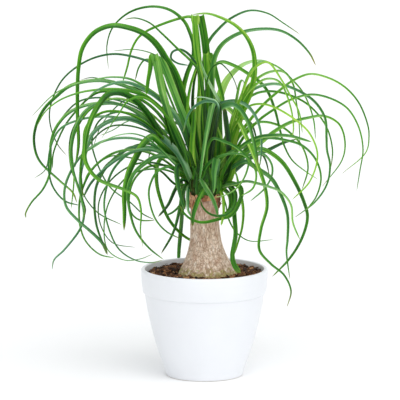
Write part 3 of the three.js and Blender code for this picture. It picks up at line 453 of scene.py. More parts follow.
turn_of = np.arctan2(stem_points[:, 1], stem_points[:, 0])
z_of = stem_points[:, 2]
reach_of = np.hypot(stem_points[:, 0], stem_points[:, 1])
crack_share = np.array([island_edges(*point) if point[2] > CRACKS_FROM_Z else 0 for point in stem_points])
long_crack = np.maximum(0, np.cos(FISSURES * turn_of + 1.3 * np.sin(z_of / 14) + z_of / 40)) ** 2
long_ripple = 0.5 + 0.5 * np.sin(3 * turn_of + z_of / 19)
old_rings = 0.5 + 0.5 * np.sin(z_of / 1.15 + 1.2 * np.sin(2 * turn_of) + 0.8 * np.sin(5 * turn_of + 1))
old_rings = old_rings ** 3 * smoothstep(z_of, 178, 194)
pressed = FISSURE_DEPTH * (long_crack + long_ripple) - ISLAND_RISE + SCAR_DEPTH * old_rings
pressed = pressed + CRACK_DEPTH * crack_share * (1 - 0.55 * smoothstep(z_of, 172, 196))
squeeze = np.where(reach_of > 1, 1 - pressed / np.maximum(reach_of, 1), 1)
stem_points[:, 0] = stem_points[:, 0] * squeeze + stem_lean(z_of)
stem_points[:, 1] = stem_points[:, 1] * squeeze
print(f"{len(stem_points)} points on the stem, {crack_share.mean():.0%} of them in cracks")

# %% [markdown]
# ## Corky bark
# Bark shows beige islands, some nearly cream and some rosy, with brown cracks between them. Low down it
# has a breath of green, where the mix keeps it damp, and the young neck is darker and redder. The cracks
# are read from the mesh, so colour and shape agree. The islands take their tone from noise stretched
# upward, as they are.

# %% The bark and the stem
bark = Finish("corky_stem_bark")
spot = bark.place()
height = bark.node("SeparateXYZ", {}, {0: spot}, output="Z")
upright = bark.stretched(spot, (1, 1, 0.3))
tone = bark.grain(upright, 330, detail=4, roughness=0.65)
patches = bark.grain(upright, 120, detail=2)
flecks = bark.grain(bark.stretched(spot, (1, 1, 0.22)), 1000, detail=3)
crack = bark.stored("crack")
young = bark.band(height, 0.176, 0.200)
damp = bark.band(bark.grain(spot, 260) - (height - 0.126) * 30, 0.34, 0.56)

islands = bark.node("ValToRGB", {"stops": [
    (0.28, hue(168, 138, 114)),
    (0.42, hue(206, 180, 156)),
    (0.54, hue(230, 208, 186)),
    (0.68, hue(252, 242, 228)),
]}, {0: tone})
rosy = bark.mix(bark.band(patches, 0.45, 0.7) * 0.4, islands, hue(196, 152, 126))
neck_tone = bark.mix(young * 0.5, rosy, hue(178, 134, 112))
mossy = bark.mix(damp * 0.7, neck_tone, hue(152, 148, 60))
flecked = bark.mix(bark.band(flecks, 0.56, 0.72) * 0.6, mossy, hue(244, 232, 214))
cracked = bark.mix(crack * 0.6, flecked, hue(140, 108, 82))
rough_bark = bark.coat_with({
    "Base Color": cracked,
    "Roughness": 0.78 + flecks * 0.2,
    "Normal": bark.bump(flecks * 0.6 + tone, 0.55, 0.0009),
    "Specular IOR Level": 0.25,
})
add_piece("corky_stem", stem_points, stem_faces, rough_bark, "stem", "corky_bark", {"crack": crack_share})

# %% [markdown]
# ## The bark mix
# The pot holds a coarse mix of composted bark. One body of mix fills the pot and has the hole that the
# stem stands in. Its top alone would look like a carpet, so loose chips and crumbs lie on it. A particle
# system would scatter them, but it is lost in an export, so they are placed in code: each chip is the
# convex hull of a few random points, turned and sunk a little into the mix, clear of the pot and stem.

# %% The bed of mix
SOIL_Z = 121.5
SOIL_LUMP = 1.1
GAP = 0.3
HOLE_CLEARANCE = 2 * GAP + FISSURE_DEPTH
BED_SIDES = 180
BED_RINGS = 26


def soil_height(x, y):
    """Height of the uneven mix over its mean level."""
    long_swell = np.sin(x / 9 + 1) * np.cos(y / 11)
    short_swell = np.sin(x / 3.7 + y / 6.1) * np.cos(y / 4.3 - x / 8.3)
    return SOIL_LUMP * (0.5 * long_swell + 0.6 * short_swell)


def bed_ring(radius, z, lean=0.0):
    """One ring of the bed, round the stem's middle where it lines the hole."""
    angles = np.arange(BED_SIDES) * 2 * math.pi / BED_SIDES
    x = radius * np.cos(angles) + lean
    y = radius * np.sin(angles)
    return np.stack([x, y, np.full(BED_SIDES, float(z))], axis=-1)


floor_z = POT_FLOOR_Z + GAP
rings = [bed_ring(inner_radius(z) - 2 * GAP, z) for z in (floor_z, 30, 54, 78, 100, SOIL_Z - 1.5)]
hole_profile = [(radius + HOLE_CLEARANCE, z) for radius, z in STEM_PROFILE[1:6]]
stem_radii, stem_heights = zip(*STEM_PROFILE[5:7])
stem_at_soil = np.interp(SOIL_Z, stem_heights, stem_radii)
brim = bed_ring(stem_at_soil + HOLE_CLEARANCE, SOIL_Z, stem_lean(SOIL_Z))
outer = bed_ring(inner_radius(SOIL_Z) - 1.2, SOIL_Z)
for share in np.linspace(0, 1, BED_RINGS):
    ring = outer + (brim - outer) * share
    grit = [noise.fractal(Vector(point) / 4.2, 0.8, 2.0, 4) for point in ring]
    ring[:, 2] += soil_height(ring[:, 0], ring[:, 1]) + 1.3 * np.array(grit)
    rings.append(ring)
rings += [bed_ring(radius, z, stem_lean(z)) for radius, z in reversed(hole_profile)]
bed_points = np.vstack([[[0, 0, floor_z]], [[0, 0, 92 - HOLE_CLEARANCE]], *rings])
bed_faces = capped_faces(len(rings), BED_SIDES)
print(f"The bed has {len(rings)} rings")

# %% Chips and crumbs
CHIP_COUNT = 860
CRUMB_COUNT = 1700
CHIP_SHAPES = 14
SOIL_SEED = 31
CHIP_LENGTHS = (3.2, 9.5)
CRUMB_LENGTHS = (1.1, 3)
CHIP_PILE = 1.9
CRUMB_PILE = 2.4
STEM_REACH = 35.6
WALL_CLEARANCE = 0.8


def hull_of(cloud):
    """The convex hull of a cloud of points, as points and triangles."""
    form = bmesh.new()
    for point in cloud:
        form.verts.new(point)
    made = bmesh.ops.convex_hull(form, input=form.verts)
    bmesh.ops.delete(form, geom=made["geom_interior"], context="VERTS")
    bmesh.ops.recalc_face_normals(form, faces=form.faces)
    form.verts.index_update()
    points = np.array([vert.co[:] for vert in form.verts])
    faces = [tuple(vert.index for vert in face.verts) for face in form.faces]
    form.free()
    return points, faces


def turn_matrix(roll, pitch, yaw):
    """Turns about X, then Y, then Z."""
    a, b, c = math.cos(roll), math.cos(pitch), math.cos(yaw)
    d, e, f = math.sin(roll), math.sin(pitch), math.sin(yaw)
    about_x = np.array([[1, 0, 0], [0, a, -d], [0, d, a]])
    about_y = np.array([[b, 0, e], [0, 1, 0], [-e, 0, b]])
    about_z = np.array([[c, -f, 0], [f, c, 0], [0, 0, 1]])
    return about_z @ about_y @ about_x


dice = np.random.default_rng(SOIL_SEED)
chip_shapes = [hull_of(dice.uniform(-0.5, 0.5, (13, 3))) for _ in range(CHIP_SHAPES)]
stem_middle = np.array([float(stem_lean(SOIL_Z)), 0.0])
wall_reach = float(inner_radius(SOIL_Z)) - WALL_CLEARANCE


def scattered(count, lengths, pile):
    """Points, faces and tones of loose pieces on the mix, in a pile of a height."""
    points, faces, tones = [], [], []
    placed = 0
    while len(tones) < count:
        length = dice.uniform(*lengths)
        reach = wall_reach * math.sqrt(dice.uniform(0.2, 1))
        bearing = dice.uniform(0, 2 * math.pi)
        middle = reach * np.array([math.cos(bearing), math.sin(bearing)])
        near_stem = np.linalg.norm(middle - stem_middle)
        if reach > wall_reach - length * 0.42 or near_stem < STEM_REACH + length * 0.36:
            continue
        shape, corners = chip_shapes[dice.integers(CHIP_SHAPES)]
        size = length * np.array([1, dice.uniform(0.4, 0.75), dice.uniform(0.22, 0.42)])
        tilt = dice.normal(0, 0.32, 2)
        turned_shape = (shape * size) @ turn_matrix(tilt[0], tilt[1], dice.uniform(0, 2 * math.pi)).T
        z = SOIL_Z + float(soil_height(*middle)) + size[2] * 0.2 + dice.uniform(0, pile)
        points.append(turned_shape + [*middle, z])
        faces += [tuple(corner + placed for corner in face) for face in corners]
        placed += len(shape)
        tones.append(np.full(len(shape), dice.uniform()))
    return np.vstack(points), faces, np.concatenate(tones)


chip_points, chip_faces, chip_tones = scattered(CHIP_COUNT, CHIP_LENGTHS, CHIP_PILE)
crumb_points, crumb_faces, crumb_tones = scattered(CRUMB_COUNT, CRUMB_LENGTHS, CRUMB_PILE)
print(f"{CHIP_COUNT} chips and {CRUMB_COUNT} crumbs, up to z {chip_points[:, 2].max():.1f} mm")

# %% [markdown]
# ## Bark mix finish
# Damp bark is dark, and its broken faces run from dark brown over rust to tan. Each chip has its own
# tone, kept on its points, and fine grain breaks it up. The bed under the chips wears the same finish with
# one dark tone, nearly black, so that no gap shows between them: that dark is partly the mix's own colour
# and partly painted shade in the hollows between the chips.

# %% The mix's finish and its pieces
# Painted shade, in part: the bed's one dark tone also stands for the shade between the chips.
BED_TONE = 0.14

mix_finish = Finish("damp_bark_mix")
spot = mix_finish.place()
grain = mix_finish.grain(spot, 420, detail=5, roughness=0.7)
threads = mix_finish.grain(mix_finish.stretched(spot, (1, 0.25, 1)), 1100, detail=3)
tone = mix_finish.stored("tone") * 0.75 + grain * 0.25
chips_colour = mix_finish.node("ValToRGB", {"stops": [
    (0.12, hue(36, 25, 17)),
    (0.36, hue(72, 48, 31)),
    (0.58, hue(110, 72, 44)),
    (0.76, hue(158, 108, 68)),
    (0.92, hue(206, 164, 120)),
]}, {0: tone})
fibrous = mix_finish.mix(mix_finish.band(threads, 0.52, 0.72) * 0.4, chips_colour, hue(44, 27, 17))
bark_mix = mix_finish.coat_with({
    "Base Color": fibrous,
    "Roughness": 0.72 + grain * 0.24,
    "Normal": mix_finish.bump(threads + grain, 0.6, 0.0009),
    "Specular IOR Level": 0.3,
})
bed_tones = np.full(len(bed_points), BED_TONE)
for name, points, faces, tones, smooth in (
    ("bark_bed", bed_points, bed_faces, bed_tones, True),
    ("bark_chips", chip_points, chip_faces, chip_tones, False),
    ("bark_crumbs", crumb_points, crumb_faces, crumb_tones, False),
):
    add_piece(name, points, faces, bark_mix, "soil", "bark_mix", {"tone": tones}, smooth=smooth)

# %% [markdown]
# ## Leaf routes
# Every leaf that can be told apart has a route of its own, drawn in the picture that the far eye sees. A
# route has the leaf's width and the width of its tip, both in millimetres, then its depth: how far its tip
# lies behind the stem, or with a minus before it. Then come the picture points from root to tip. A third
# number brings a point that much nearer to the eye, where a blade folds over, and a last number after the
# points says from where on the leaf tapers or widens. The widths were corrected after measuring across
# each leaf in a render and in the photograph. Two leaves are folded so sharply that one curve would twist
# there, so the blade beyond the fold has a route of its own: its name ends in fold_end.
# A rule could scatter such leaves more quickly, but this plant's own swing would be lost.

# %% The routes
LEAF_ROUTES = {
    "left_big_arch": (10.6, 3.6, -55, [(199, 186), (195, 155), (188, 118), (181.5, 93), (177.5, 80),
        (173.2, 70), (166.5, 60), (160.7, 50), (153, 40.5), (143, 33), (130, 28), (112, 25.5), (95, 32),
        (83, 47), (78.5, 68), (77.5, 115), (78.5, 145), (75, 168)]),
    "left_highest": (6.8, 1.1, 70, [(199, 186), (190, 150), (184, 115), (183, 92), (187, 74), (193, 58),
        (193.5, 45), (190, 33), (184, 21), (170, 10), (152, 6.5), (130, 12), (113, 27), (107, 45),
        (108.5, 70)]),
    "right_over_top": (10, 1.8, -62, [(215.5, 189.5), (222, 172), (230, 152), (236, 130), (244, 107),
        (250, 93), (254, 78), (254.7, 64), (252.8, 50), (246, 36), (235, 25), (220, 17.2), (207, 13.5),
        (192, 14.5)]),
    "mid_fold": (7, 8.8, -16, [(208, 188), (210, 150), (209.5, 110), (207.8, 85), (206.9, 70), (206.4, 61),
        (206, 55.4), (205.9, 53, -2), (206.1, 55.6, -4.5), (206.6, 63, -6)], 0.8),
    "light_strand": (6.2, 2, -42, [(213, 188), (222, 170), (227, 150), (227.5, 130), (224.5, 111),
        (217, 97), (209.5, 83), (204, 71.5), (200.3, 60)]),
    "bright_strand": (4.6, 2, -50, [(197, 186), (190, 145), (187.5, 108), (190.5, 86), (195, 71),
        (198, 62)]),
    "left_fold": (8.9, 7.4, -95, [(200, 186), (191, 165), (180, 145), (171, 122), (165.5, 103), (161.8, 90),
        (159.8, 80), (158, 70), (155.8, 60), (154.3, 55), (154, 53.2, -2.6), (154.4, 55.8, -6),
        (155.4, 62, -8)], 0.7),
    "left_light_inner": (8.8, 1.6, -72, [(202, 186), (194, 155), (186, 124), (179, 105), (173.3, 90),
        (169.5, 80), (165.8, 70), (163.5, 65), (161.2, 60), (159, 55.5)], 0.8),
    "left_thin_high": (4, 1.2, -90, [(204, 186), (205, 140), (203, 98), (198, 70), (190, 60), (178, 49),
        (163, 34.5), (149, 22.5), (135, 18), (124, 19.5)]),
    "left_curl": (3.6, 2, -60, [(206, 186), (207, 138), (204, 95), (197, 66), (188, 53.5), (180, 49.5),
        (172.5, 52), (171, 58), (177, 63), (189, 65.5)]),
    "left_long_low": (3.4, 1.3, 90, [(195.5, 188), (190, 140), (181, 105), (168, 78), (152, 63.5),
        (140, 58.5), (115, 54), (95, 57.5), (78, 66), (63, 79), (54, 95), (49.5, 112), (51, 128), (58, 145),
        (67, 156)]),
    "left_thin_fold": (2.8, 1.8, 60, [(200, 186), (190, 148), (177, 115), (166, 88), (159, 68), (151, 60.5),
        (145, 59.8), (139, 67), (135, 81)], 0.5),
    "left_thin_mid": (2, 0.9, 110, [(202, 186), (193, 145), (180, 105), (170, 78), (162, 60), (152, 53.5),
        (135, 49.5), (112, 51)], 0.5),
    "left_reach": (4.1, 1.1, -75, [(194.5, 188), (188, 145), (179, 119), (165, 102), (150, 90), (130, 79),
        (112, 77), (100, 78.5), (78, 83), (55, 93.5), (31, 117)]),
    "far_left_loop": (5, 2.6, 25, [(195, 186), (186, 152), (172, 122), (150, 99), (125, 86), (102, 80.5),
        (80, 82.5), (68, 87), (58, 95), (44, 109), (36, 126), (34, 142), (39, 160), (60, 181), (73, 193),
        (77, 203)]),
    "left_low_reach": (4, 1.3, -100, [(192.5, 188), (181, 148), (167, 116), (150, 99), (130, 91), (110, 89),
        (95, 90), (80, 92.5), (60, 100), (45, 112), (36, 128)], 0.3),
    "left_dark_thin": (4.2, 0.8, 100, [(198, 186), (190, 145), (178, 116), (162, 101), (142, 90),
        (125, 85.5), (105, 80.5), (92, 77.5), (80, 80)]),
    "left_wide_bright": (7.6, 0.9, -125, [(194.5, 186), (184, 167), (170, 150), (157, 128), (145, 110),
        (130, 96.5), (118, 92.5), (108, 94.5), (98, 106), (89, 125), (84.5, 150), (86.2, 163.5), (98, 179),
        (125, 190), (137, 197), (141, 210), (140.5, 232), (143, 248)], 0.42),
    "left_lowest": (8, 2, -66, [(195.5, 189), (191, 180, 8), (188.5, 174, 12), (184, 163, 14),
        (178, 153, 14), (172, 146.5, 12), (165, 140, 8), (150, 128), (140, 121.5), (128, 118.5),
        (115, 119.5), (103, 124.5), (91, 136), (85, 155), (80.5, 175), (81, 195), (84, 215), (80, 229),
        (64, 250), (54, 260), (52, 270)]),
    "left_ring_back": (4, 1.9, 125, [(191.5, 186), (176, 142), (157, 112), (137, 97.5), (115, 92),
        (100, 92), (90, 97), (77, 110), (66, 124), (58, 140), (53, 155), (52.5, 169)]),
    "left_ring_front": (3.7, 2.1, -50, [(190.5, 187), (178, 160), (160, 139), (142, 124.5), (120, 118),
        (100, 116.5), (77, 120.5), (60, 129), (51, 146), (48.5, 168), (53, 187), (65, 201), (80, 205.5)]),
    "left_edge_hook": (3.8, 2, -22, [(189.5, 187), (176, 152), (152, 122), (122, 105), (92, 104), (70, 112),
        (57, 126), (51, 142), (50, 172), (43, 189), (31, 203), (25.5, 214), (26, 218)], 0.5),
    "left_edge_tip": (2.9, 1, 75, [(188.5, 186), (173, 147), (147, 114), (110, 98.5), (80, 101), (62, 118),
        (53, 135), (49, 155), (45, 170), (34, 178.5)]),
    "left_sway": (2.9, 4.8, -105, [(193.5, 190), (181, 169), (162, 151), (141, 140), (120, 138),
        (100, 142.5), (82, 155), (70, 173), (64.5, 190), (66, 206), (77, 219.5), (93, 233.5), (103, 244),
        (107.5, 255)], 0.66),
    "left_low_thin": (2.7, 2.1, 22, [(192.5, 190), (178, 171), (150, 153), (120, 151), (95, 166), (82, 190),
        (79, 212), (81, 230), (87, 243), (100, 254.5), (115, 258)], 0.5),
    "left_bow_back": (4.4, 2.6, 130, [(194.5, 190), (185, 173), (172, 158), (160, 150.5), (145, 147),
        (130, 148), (120, 154), (110, 163), (103, 172), (95.5, 190), (96.5, 225), (107.5, 254)], 0.5),
    "left_bow_front": (4.4, 1, -140, [(195.5, 191), (186, 175), (172, 160), (160, 152.5), (148, 149),
        (130, 153), (113, 170), (105, 195), (105, 214), (118, 248), (135, 260), (152, 262.5), (163, 260)]),
    "left_bow_thin": (2.9, 0.9, 92, [(194.5, 190), (183, 176), (160, 164), (136, 164), (112, 179),
        (99, 202), (101, 226), (113, 243), (136, 247.5)]),
    "left_bow_low": (2.5, 0.8, -92, [(195.5, 190), (184, 178), (160, 169), (130, 175), (110, 200),
        (104, 228), (108, 250), (124, 260), (140, 259), (153, 254)]),
    "left_blunt": (7.6, 3.6, -62, [(194.5, 189), (186, 172), (171, 154), (160, 143), (152, 137), (143, 144),
        (138, 153), (129, 172), (124.5, 192), (124.5, 215), (124, 231)], 0.68),
    "left_bright_low": (5.4, 1.8, -110, [(198, 187), (188, 171), (176, 160), (165, 156), (155, 157),
        (140, 167), (133, 175), (128, 190), (130, 212), (136, 231), (149, 248), (164, 260)], 0.4),
    "left_strand_tail": (2.4, 1.6, 62, [(192.5, 188), (178, 150), (150, 122), (120, 112), (100, 120),
        (92, 140), (96, 160), (110, 187), (131, 203), (143, 214), (155, 220)]),
    "left_inner_tail": (2.8, 1.8, 100, [(195.5, 191), (186, 178), (168, 166), (148, 167), (134, 180),
        (129, 200), (132, 214), (140, 220), (155, 220.5)], 0.4),
    "left_inner_bow": (3.3, 1.8, -100, [(198, 190), (190, 180), (178, 170), (168, 167), (157, 172),
        (149.5, 187), (149.5, 201), (156, 220), (167, 232), (180, 238.5)]),
    "behind_trunk": (4.9, 3, 66, [(199, 188), (190, 174), (176, 160), (165, 156.5), (158.5, 162),
        (156.5, 180), (161, 201), (170, 221), (184, 236), (199, 244)], 0.5),
    "left_drop_short": (4.4, 2.6, -44, [(199, 191), (191, 183), (182, 180), (175, 190), (168, 205),
        (158, 217)], 0.6),
    "left_drop_tiny": (3.3, 2.1, 34, [(198, 192), (190, 185), (184, 192), (180, 205), (173, 212),
        (165, 216)], 0.5),
    "left_drop_long": (4.1, 2.2, -54, [(200, 190), (191, 181), (184, 188), (179.5, 210), (173, 233),
        (161, 254)], 0.55),
    "behind_rim": (5.4, 3.8, 92, [(201, 190), (193, 178), (186.5, 184), (183, 205), (181, 228), (179, 250),
        (178.5, 263)], 0.6),
    "left_thin_arc": (3.3, 1, -102, [(198, 188), (188, 174), (175, 164), (163, 152), (152, 142), (145, 137),
        (130, 133.5), (110, 138), (87, 152)]),
    "left_thin_arc_back": (2.9, 1, 84, [(195.5, 189), (182, 164), (168, 152), (157, 146), (138, 144.5),
        (122, 153), (105, 166), (96, 182)]),
    "left_low_arc": (3.1, 1, 30, [(200, 192), (189, 185), (176, 184.5), (162, 172), (143, 161),
        (122, 156.5), (112, 156), (97, 164), (87, 175), (82, 193)]),
    "left_mid_arc": (4.2, 2.6, -72, [(194.5, 189), (184, 171), (165, 154), (145, 149.5), (125, 155),
        (108, 166), (91, 183), (83, 198)], 0.45),
    "left_strand_one": (3.2, 1.2, 74, [(191.5, 186), (176, 149), (150, 119), (120, 104.5), (95, 106),
        (77, 122), (70, 140), (71, 168), (80, 192)], 0.5),
    "left_strand_two": (2.9, 1.7, -40, [(192.5, 186), (177, 144), (150, 113), (118, 98.5), (92, 108),
        (77, 128), (72, 148), (74, 178), (71, 210)], 0.5),
    "left_strand_three": (2.2, 1.6, 112, [(191.5, 187), (173, 150), (145, 130), (112, 126), (92, 141),
        (82, 165), (81, 188), (97, 212), (122, 225)]),
    "left_fan_one": (3.1, 0.9, -122, [(193.5, 186), (179, 138), (161, 110), (143, 97.5), (128, 101),
        (118, 115), (101, 139)], 0.5),
    "left_fan_two": (2.6, 0.8, 96, [(194.5, 187), (181, 147), (159, 127), (140, 119), (126, 122),
        (113, 130), (99, 136)]),
    "left_fan_three": (3.3, 0.9, 132, [(194.5, 186), (182, 140), (161, 108), (142, 96), (128, 98.5),
        (113, 110), (100, 128), (93, 148)]),
    "right_highest": (5, 1.3, 92, [(206, 186), (203, 140), (202, 98), (203, 68), (208, 43), (220, 27.5),
        (233, 17), (250, 10.5), (268, 13.5), (284, 23.5), (301, 35)]),
    "right_arch": (7.2, 1.8, -62, [(208, 186), (210, 142), (211.5, 98), (213, 66), (216.5, 53), (224, 42.5),
        (240, 33), (260, 29), (280, 30.5), (297, 40), (310, 54), (316, 66)]),
    "right_pale": (9.4, 0.9, 58, [(214.5, 188.5), (218, 168), (219, 145), (218.4, 120), (218.6, 104),
        (220.6, 94), (223.4, 86.5), (227.4, 79), (232.4, 73), (238.4, 67.8), (246, 63.2), (256, 60.8),
        (267, 61.6), (279, 67.5)], 0.42),
    "right_long_slope": (4.2, 1, 82, [(207, 186), (208, 140), (207, 98), (211, 70), (221, 62), (235, 66),
        (250, 75), (262, 84), (268, 92), (275, 110), (280, 130), (284, 145), (292, 160), (305, 171),
        (319, 180)], 0.5),
    "right_thin_tip": (2.2, 0.9, -92, [(206, 186), (205, 132), (206, 88), (212, 68), (220, 63.5), (227, 69),
        (232, 76), (236, 85), (237.5, 92)]),
    "far_right_arc": (4.2, 1.3, 30, [(218.5, 189.5), (226, 172), (238, 138), (250, 120), (265, 103),
        (280, 90), (293, 80.5), (310, 74), (330, 78.5), (346, 88), (359, 103), (367.5, 124), (369, 135),
        (366, 152), (341, 174.5)]),
    "right_outer_arc": (4, 1.2, -72, [(217.5, 189.5), (227, 168), (243, 138), (258, 121), (273, 110),
        (290, 100), (312, 94.5), (332, 99), (348, 109), (359, 128), (363, 150), (360, 170), (356.5, 192)]),
    "right_thick_arc": (6.2, 1.3, 62, [(218.5, 189.5), (230, 169), (246, 153), (262, 141.5), (275, 131),
        (290, 122.5), (307, 118), (324, 116), (339, 124), (345, 142), (342, 160), (321, 188)]),
    "right_level": (4.4, 2.6, -122, [(217.5, 188.5), (226, 166), (242, 146), (258, 137.5), (272, 135.5),
        (290, 136), (312, 142)], 0.7),
    "right_round": (4, 1.6, -80, [(217.5, 189.5), (228, 168), (246, 149), (264, 138.5), (285, 140),
        (303, 146), (316, 160), (321, 178), (316, 197), (306, 210)]),
    "right_stub": (5, 2, 112, [(218.5, 190.5), (231, 175), (244, 163), (256, 155), (268, 150), (283, 143),
        (297, 139)], 0.6),
    "right_round_back": (3.5, 2, 122, [(216.5, 187.5), (224, 160), (240, 136), (258, 122.5), (278, 125),
        (292, 134.5), (303, 148), (308, 168), (302, 190)]),
    "right_kinked": (4.7, 2, -32, [(214.5, 187.5), (222, 160), (228.5, 136), (233.5, 115), (242, 99),
        (255, 88.5), (270, 84), (283, 85), (300, 91.5), (315, 102), (325, 118), (326.5, 138), (327, 150),
        (330, 165), (327, 184), (315, 202), (294, 218)]),
    "right_arc_back": (3.7, 1.8, 102, [(214.5, 187.5), (220, 157), (230, 128), (243, 104), (256, 93.5),
        (275, 91.5), (300, 99.5), (315, 111), (327, 128), (332.5, 150), (331, 168)]),
    "right_arc_front": (3, 1.9, -102, [(215.5, 187.5), (221, 157), (234, 127), (249, 106.5), (262, 104),
        (276, 108), (297, 121), (310, 134), (317.5, 155), (310, 181), (292, 200)]),
    "right_strand_one": (3.4, 1.2, 112, [(209, 186), (219, 165), (227.5, 145), (231.5, 125), (238.5, 105),
        (248, 87), (268, 72.5), (284, 72), (293, 84), (296, 100), (299, 122), (300, 150)], 0.5),
    "right_strand_two": (2.9, 1.6, -62, [(209, 186), (220, 166), (228.5, 145), (232.5, 125), (239.5, 106),
        (250, 90), (266, 79), (279, 81.5), (290, 105), (293.5, 128), (292, 138)], 0.5),
    "right_slope_down": (3.8, 1.6, -132, [(208, 186), (218, 165), (226.5, 145), (231, 125), (236.5, 108),
        (243, 91), (249, 76), (257, 66), (268, 62.4), (281, 79), (290, 95), (299, 112), (302.5, 134)]),
    "right_low_arch": (5.3, 2.8, 52, [(217.5, 190.5), (225, 172), (240, 155), (252, 149.5), (262, 149),
        (271, 153), (283, 163), (295, 182), (304, 202), (307.5, 217), (302, 238), (290, 258),
        (272, 277)], 0.5),
    "right_low_kinked": (5.3, 1.8, -92, [(216.5, 190.5), (223, 176), (234, 166), (245, 161.5), (258, 169),
        (271, 178), (281, 195), (287.5, 215), (287.5, 240), (286.5, 252), (290, 280)], 0.4),
    "right_low_thin": (3.2, 2.1, -132, [(215.5, 192.5), (222, 187), (234, 184), (246, 181.3), (258, 183.5),
        (270, 187), (281, 192), (291, 205), (293, 223), (300, 240)], 0.5),
    "right_front_long": (6.6, 1.8, -66, [(214.5, 188.5), (214, 150), (217, 117), (222, 106.5), (229, 109),
        (238, 120), (248, 141), (258, 166), (265, 187), (267, 207), (261, 229), (259.5, 250), (271, 264),
        (284, 275), (291, 291), (287, 307)]),
    "front_thin_hook": (3.4, 2, -102, [(204, 188), (206, 165), (207.5, 147), (213, 138.5), (224, 141.5),
        (236, 147), (248, 159), (256, 172), (253, 188), (241, 196)], 0.5),
    "front_glossy": (9.8, 2.2, -52, [(207, 188), (208.5, 168), (210.5, 150), (212.8, 135), (215.8, 121),
        (218, 111), (217.8, 106, 2), (215.4, 103.8, 6), (212.8, 105.6, 12), (211, 111, 15), (209, 121, 16),
        (206.6, 133, 17), (204.4, 145, 18), (202.6, 157, 18), (201, 170, 18), (199.4, 183, 18)], 0.3),
    "front_dark_arc": (6.4, 2, -64, [(206, 187), (208.5, 160), (212.5, 130), (216, 109.5), (219.5, 104.6),
        (226, 102.3), (234, 101.2), (241, 102.3), (247, 105.6), (252.5, 111.5), (257, 119.5), (260, 129),
        (261.5, 141), (261.3, 153), (259.5, 168)]),
    "front_broad_arc": (7.4, 3.4, -92, [(207, 187), (210.5, 160), (214.5, 130), (218, 110.5), (222, 107),
        (228, 105), (234, 104.8), (239.5, 108.4), (244, 114.5), (248, 122), (251, 131), (253.8, 142),
        (256.4, 154), (258, 166)]),
    "dark_upright": (9, 5, -40, [(212, 189), (223, 181), (228, 168), (228.8, 150), (227.5, 133),
        (225.5, 118), (224.5, 107.5)]),
    "olive_upright": (10, 5, -10, [(214.5, 191.5), (223, 186), (229, 178), (232, 168), (233, 158),
        (233.8, 145), (235.5, 130), (238.5, 114), (243, 98), (250, 82)]),
    "right_small_fold": (4.6, 1.6, -52, [(208, 187), (220, 168), (228, 150), (231, 130), (235.4, 106),
        (239.3, 85), (241, 81, 1), (242.8, 80.6, 4), (244.2, 85, 5), (242, 97, 5)]),
    "right_inner_rise": (6.4, 2.4, 36, [(209, 187), (219, 160), (230, 130), (238, 107), (245, 92),
        (251, 82)]),
    "front_hook_tail": (3.4, 1, -72, [(207, 188), (216, 168), (229, 152.5), (241, 151), (248.6, 159),
        (247.2, 170), (243, 180), (237.5, 187.4), (230, 193), (222, 196), (214, 197.4)]),
    "right_curl": (3.5, 1.9, -44, [(216.5, 189.5), (227, 173), (242, 159), (255, 153.5), (264, 154.5),
        (271.5, 164), (272, 175), (265, 188), (250, 201.5)]),
    "front_crossing": (4.4, 1.2, -86, [(200, 188), (201, 177), (208, 164), (218, 157), (232, 153.5),
        (243, 154.5), (251, 161), (257, 171)]),
    "front_hanging": (8.2, 3.2, -56, [(213, 188), (215.8, 170), (217, 162), (216.8, 158.6, 4),
        (216, 160, 9), (215, 165, 10), (214.2, 172, 10), (214, 182, 9), (213.4, 194, 7)], 0.6),
    "before_trunk_right": (5.4, 2.4, -50, [(199.5, 186), (200, 181.4, 14), (201, 180, 19), (203, 183, 21),
        (207, 189.5, 16), (211.4, 196.5, 10), (214.6, 203.5, 6), (216.6, 209.5, 4), (217.6, 216)], 0.6),
    "before_trunk_left": (5.2, 3, -50, [(206.4, 192), (205.6, 189, 16), (204.2, 188.6, 21),
        (202.2, 191.6, 22), (199, 198, 14), (196.4, 205, 8), (194, 212, 4), (192.8, 219, 3),
        (192.6, 226)], 0.7),
    "neck_wrap": (6, 2.2, -54, [(211, 191), (222, 184.5), (233, 183.6), (240.4, 187.5), (241.6, 194),
        (239, 203), (235, 211), (229, 216.4), (221, 218.4), (213, 220.6), (205, 222.3), (198, 221.8),
        (190, 218.5), (183.5, 212.5), (180, 205.5)]),
    "neck_wrap_inner": (5, 1.6, -52, [(211, 191), (222, 186.5), (231, 186.6), (235.4, 193), (235.4, 202),
        (232, 209.5), (226, 214.4), (218, 215.8), (211.5, 214.6), (206, 211), (202.2, 206), (200.4, 200)]),
    "right_drop_soil": (5.2, 7.4, -40, [(215.5, 191.5), (221, 184.5), (227.5, 184.5), (231.6, 190),
        (233.4, 201), (234.4, 216), (235.6, 234), (234, 245), (232.4, 255), (233.4, 262.5), (236.4, 268.4),
        (240.6, 273)], 0.66),
    "right_drop": (4, 2, 44, [(216.5, 191.5), (224, 178), (231, 171.5), (235.8, 173.5), (238, 182),
        (240.6, 194), (242.8, 205), (243.3, 216), (241.6, 230), (238, 242), (234.8, 254)], 0.5),
    "neck_tip": (4.4, 2.6, -38, [(210, 191), (217.5, 188.5), (222.4, 195), (223.6, 205), (223.4, 215),
        (221, 226)]),
    "right_low_tail": (2.9, 0.9, 54, [(215.5, 192.5), (220.5, 190), (225.5, 203.5), (229, 220), (237, 233),
        (250, 241), (274, 239.5)]),
    "tall_fold": (9, 7, -8, [(210, 188), (212, 150), (212, 110), (210, 82), (207.6, 62), (206, 50),
        (204.8, 40), (203.2, 30), (201.4, 20), (200.7, 15.8), (200.5, 14.6, -2.5), (200.8, 18, -5),
        (201.6, 27, -6)], 0.6),
    "tall_arch_left": (4.3, 2.4, 62, [(208, 187), (205, 140), (203, 95), (200, 60), (197.5, 32), (195, 20),
        (190, 16.8), (182, 17.8), (171, 21), (160, 25), (146, 31.5), (138, 38), (131.5, 50), (127, 68),
        (122, 84)]),
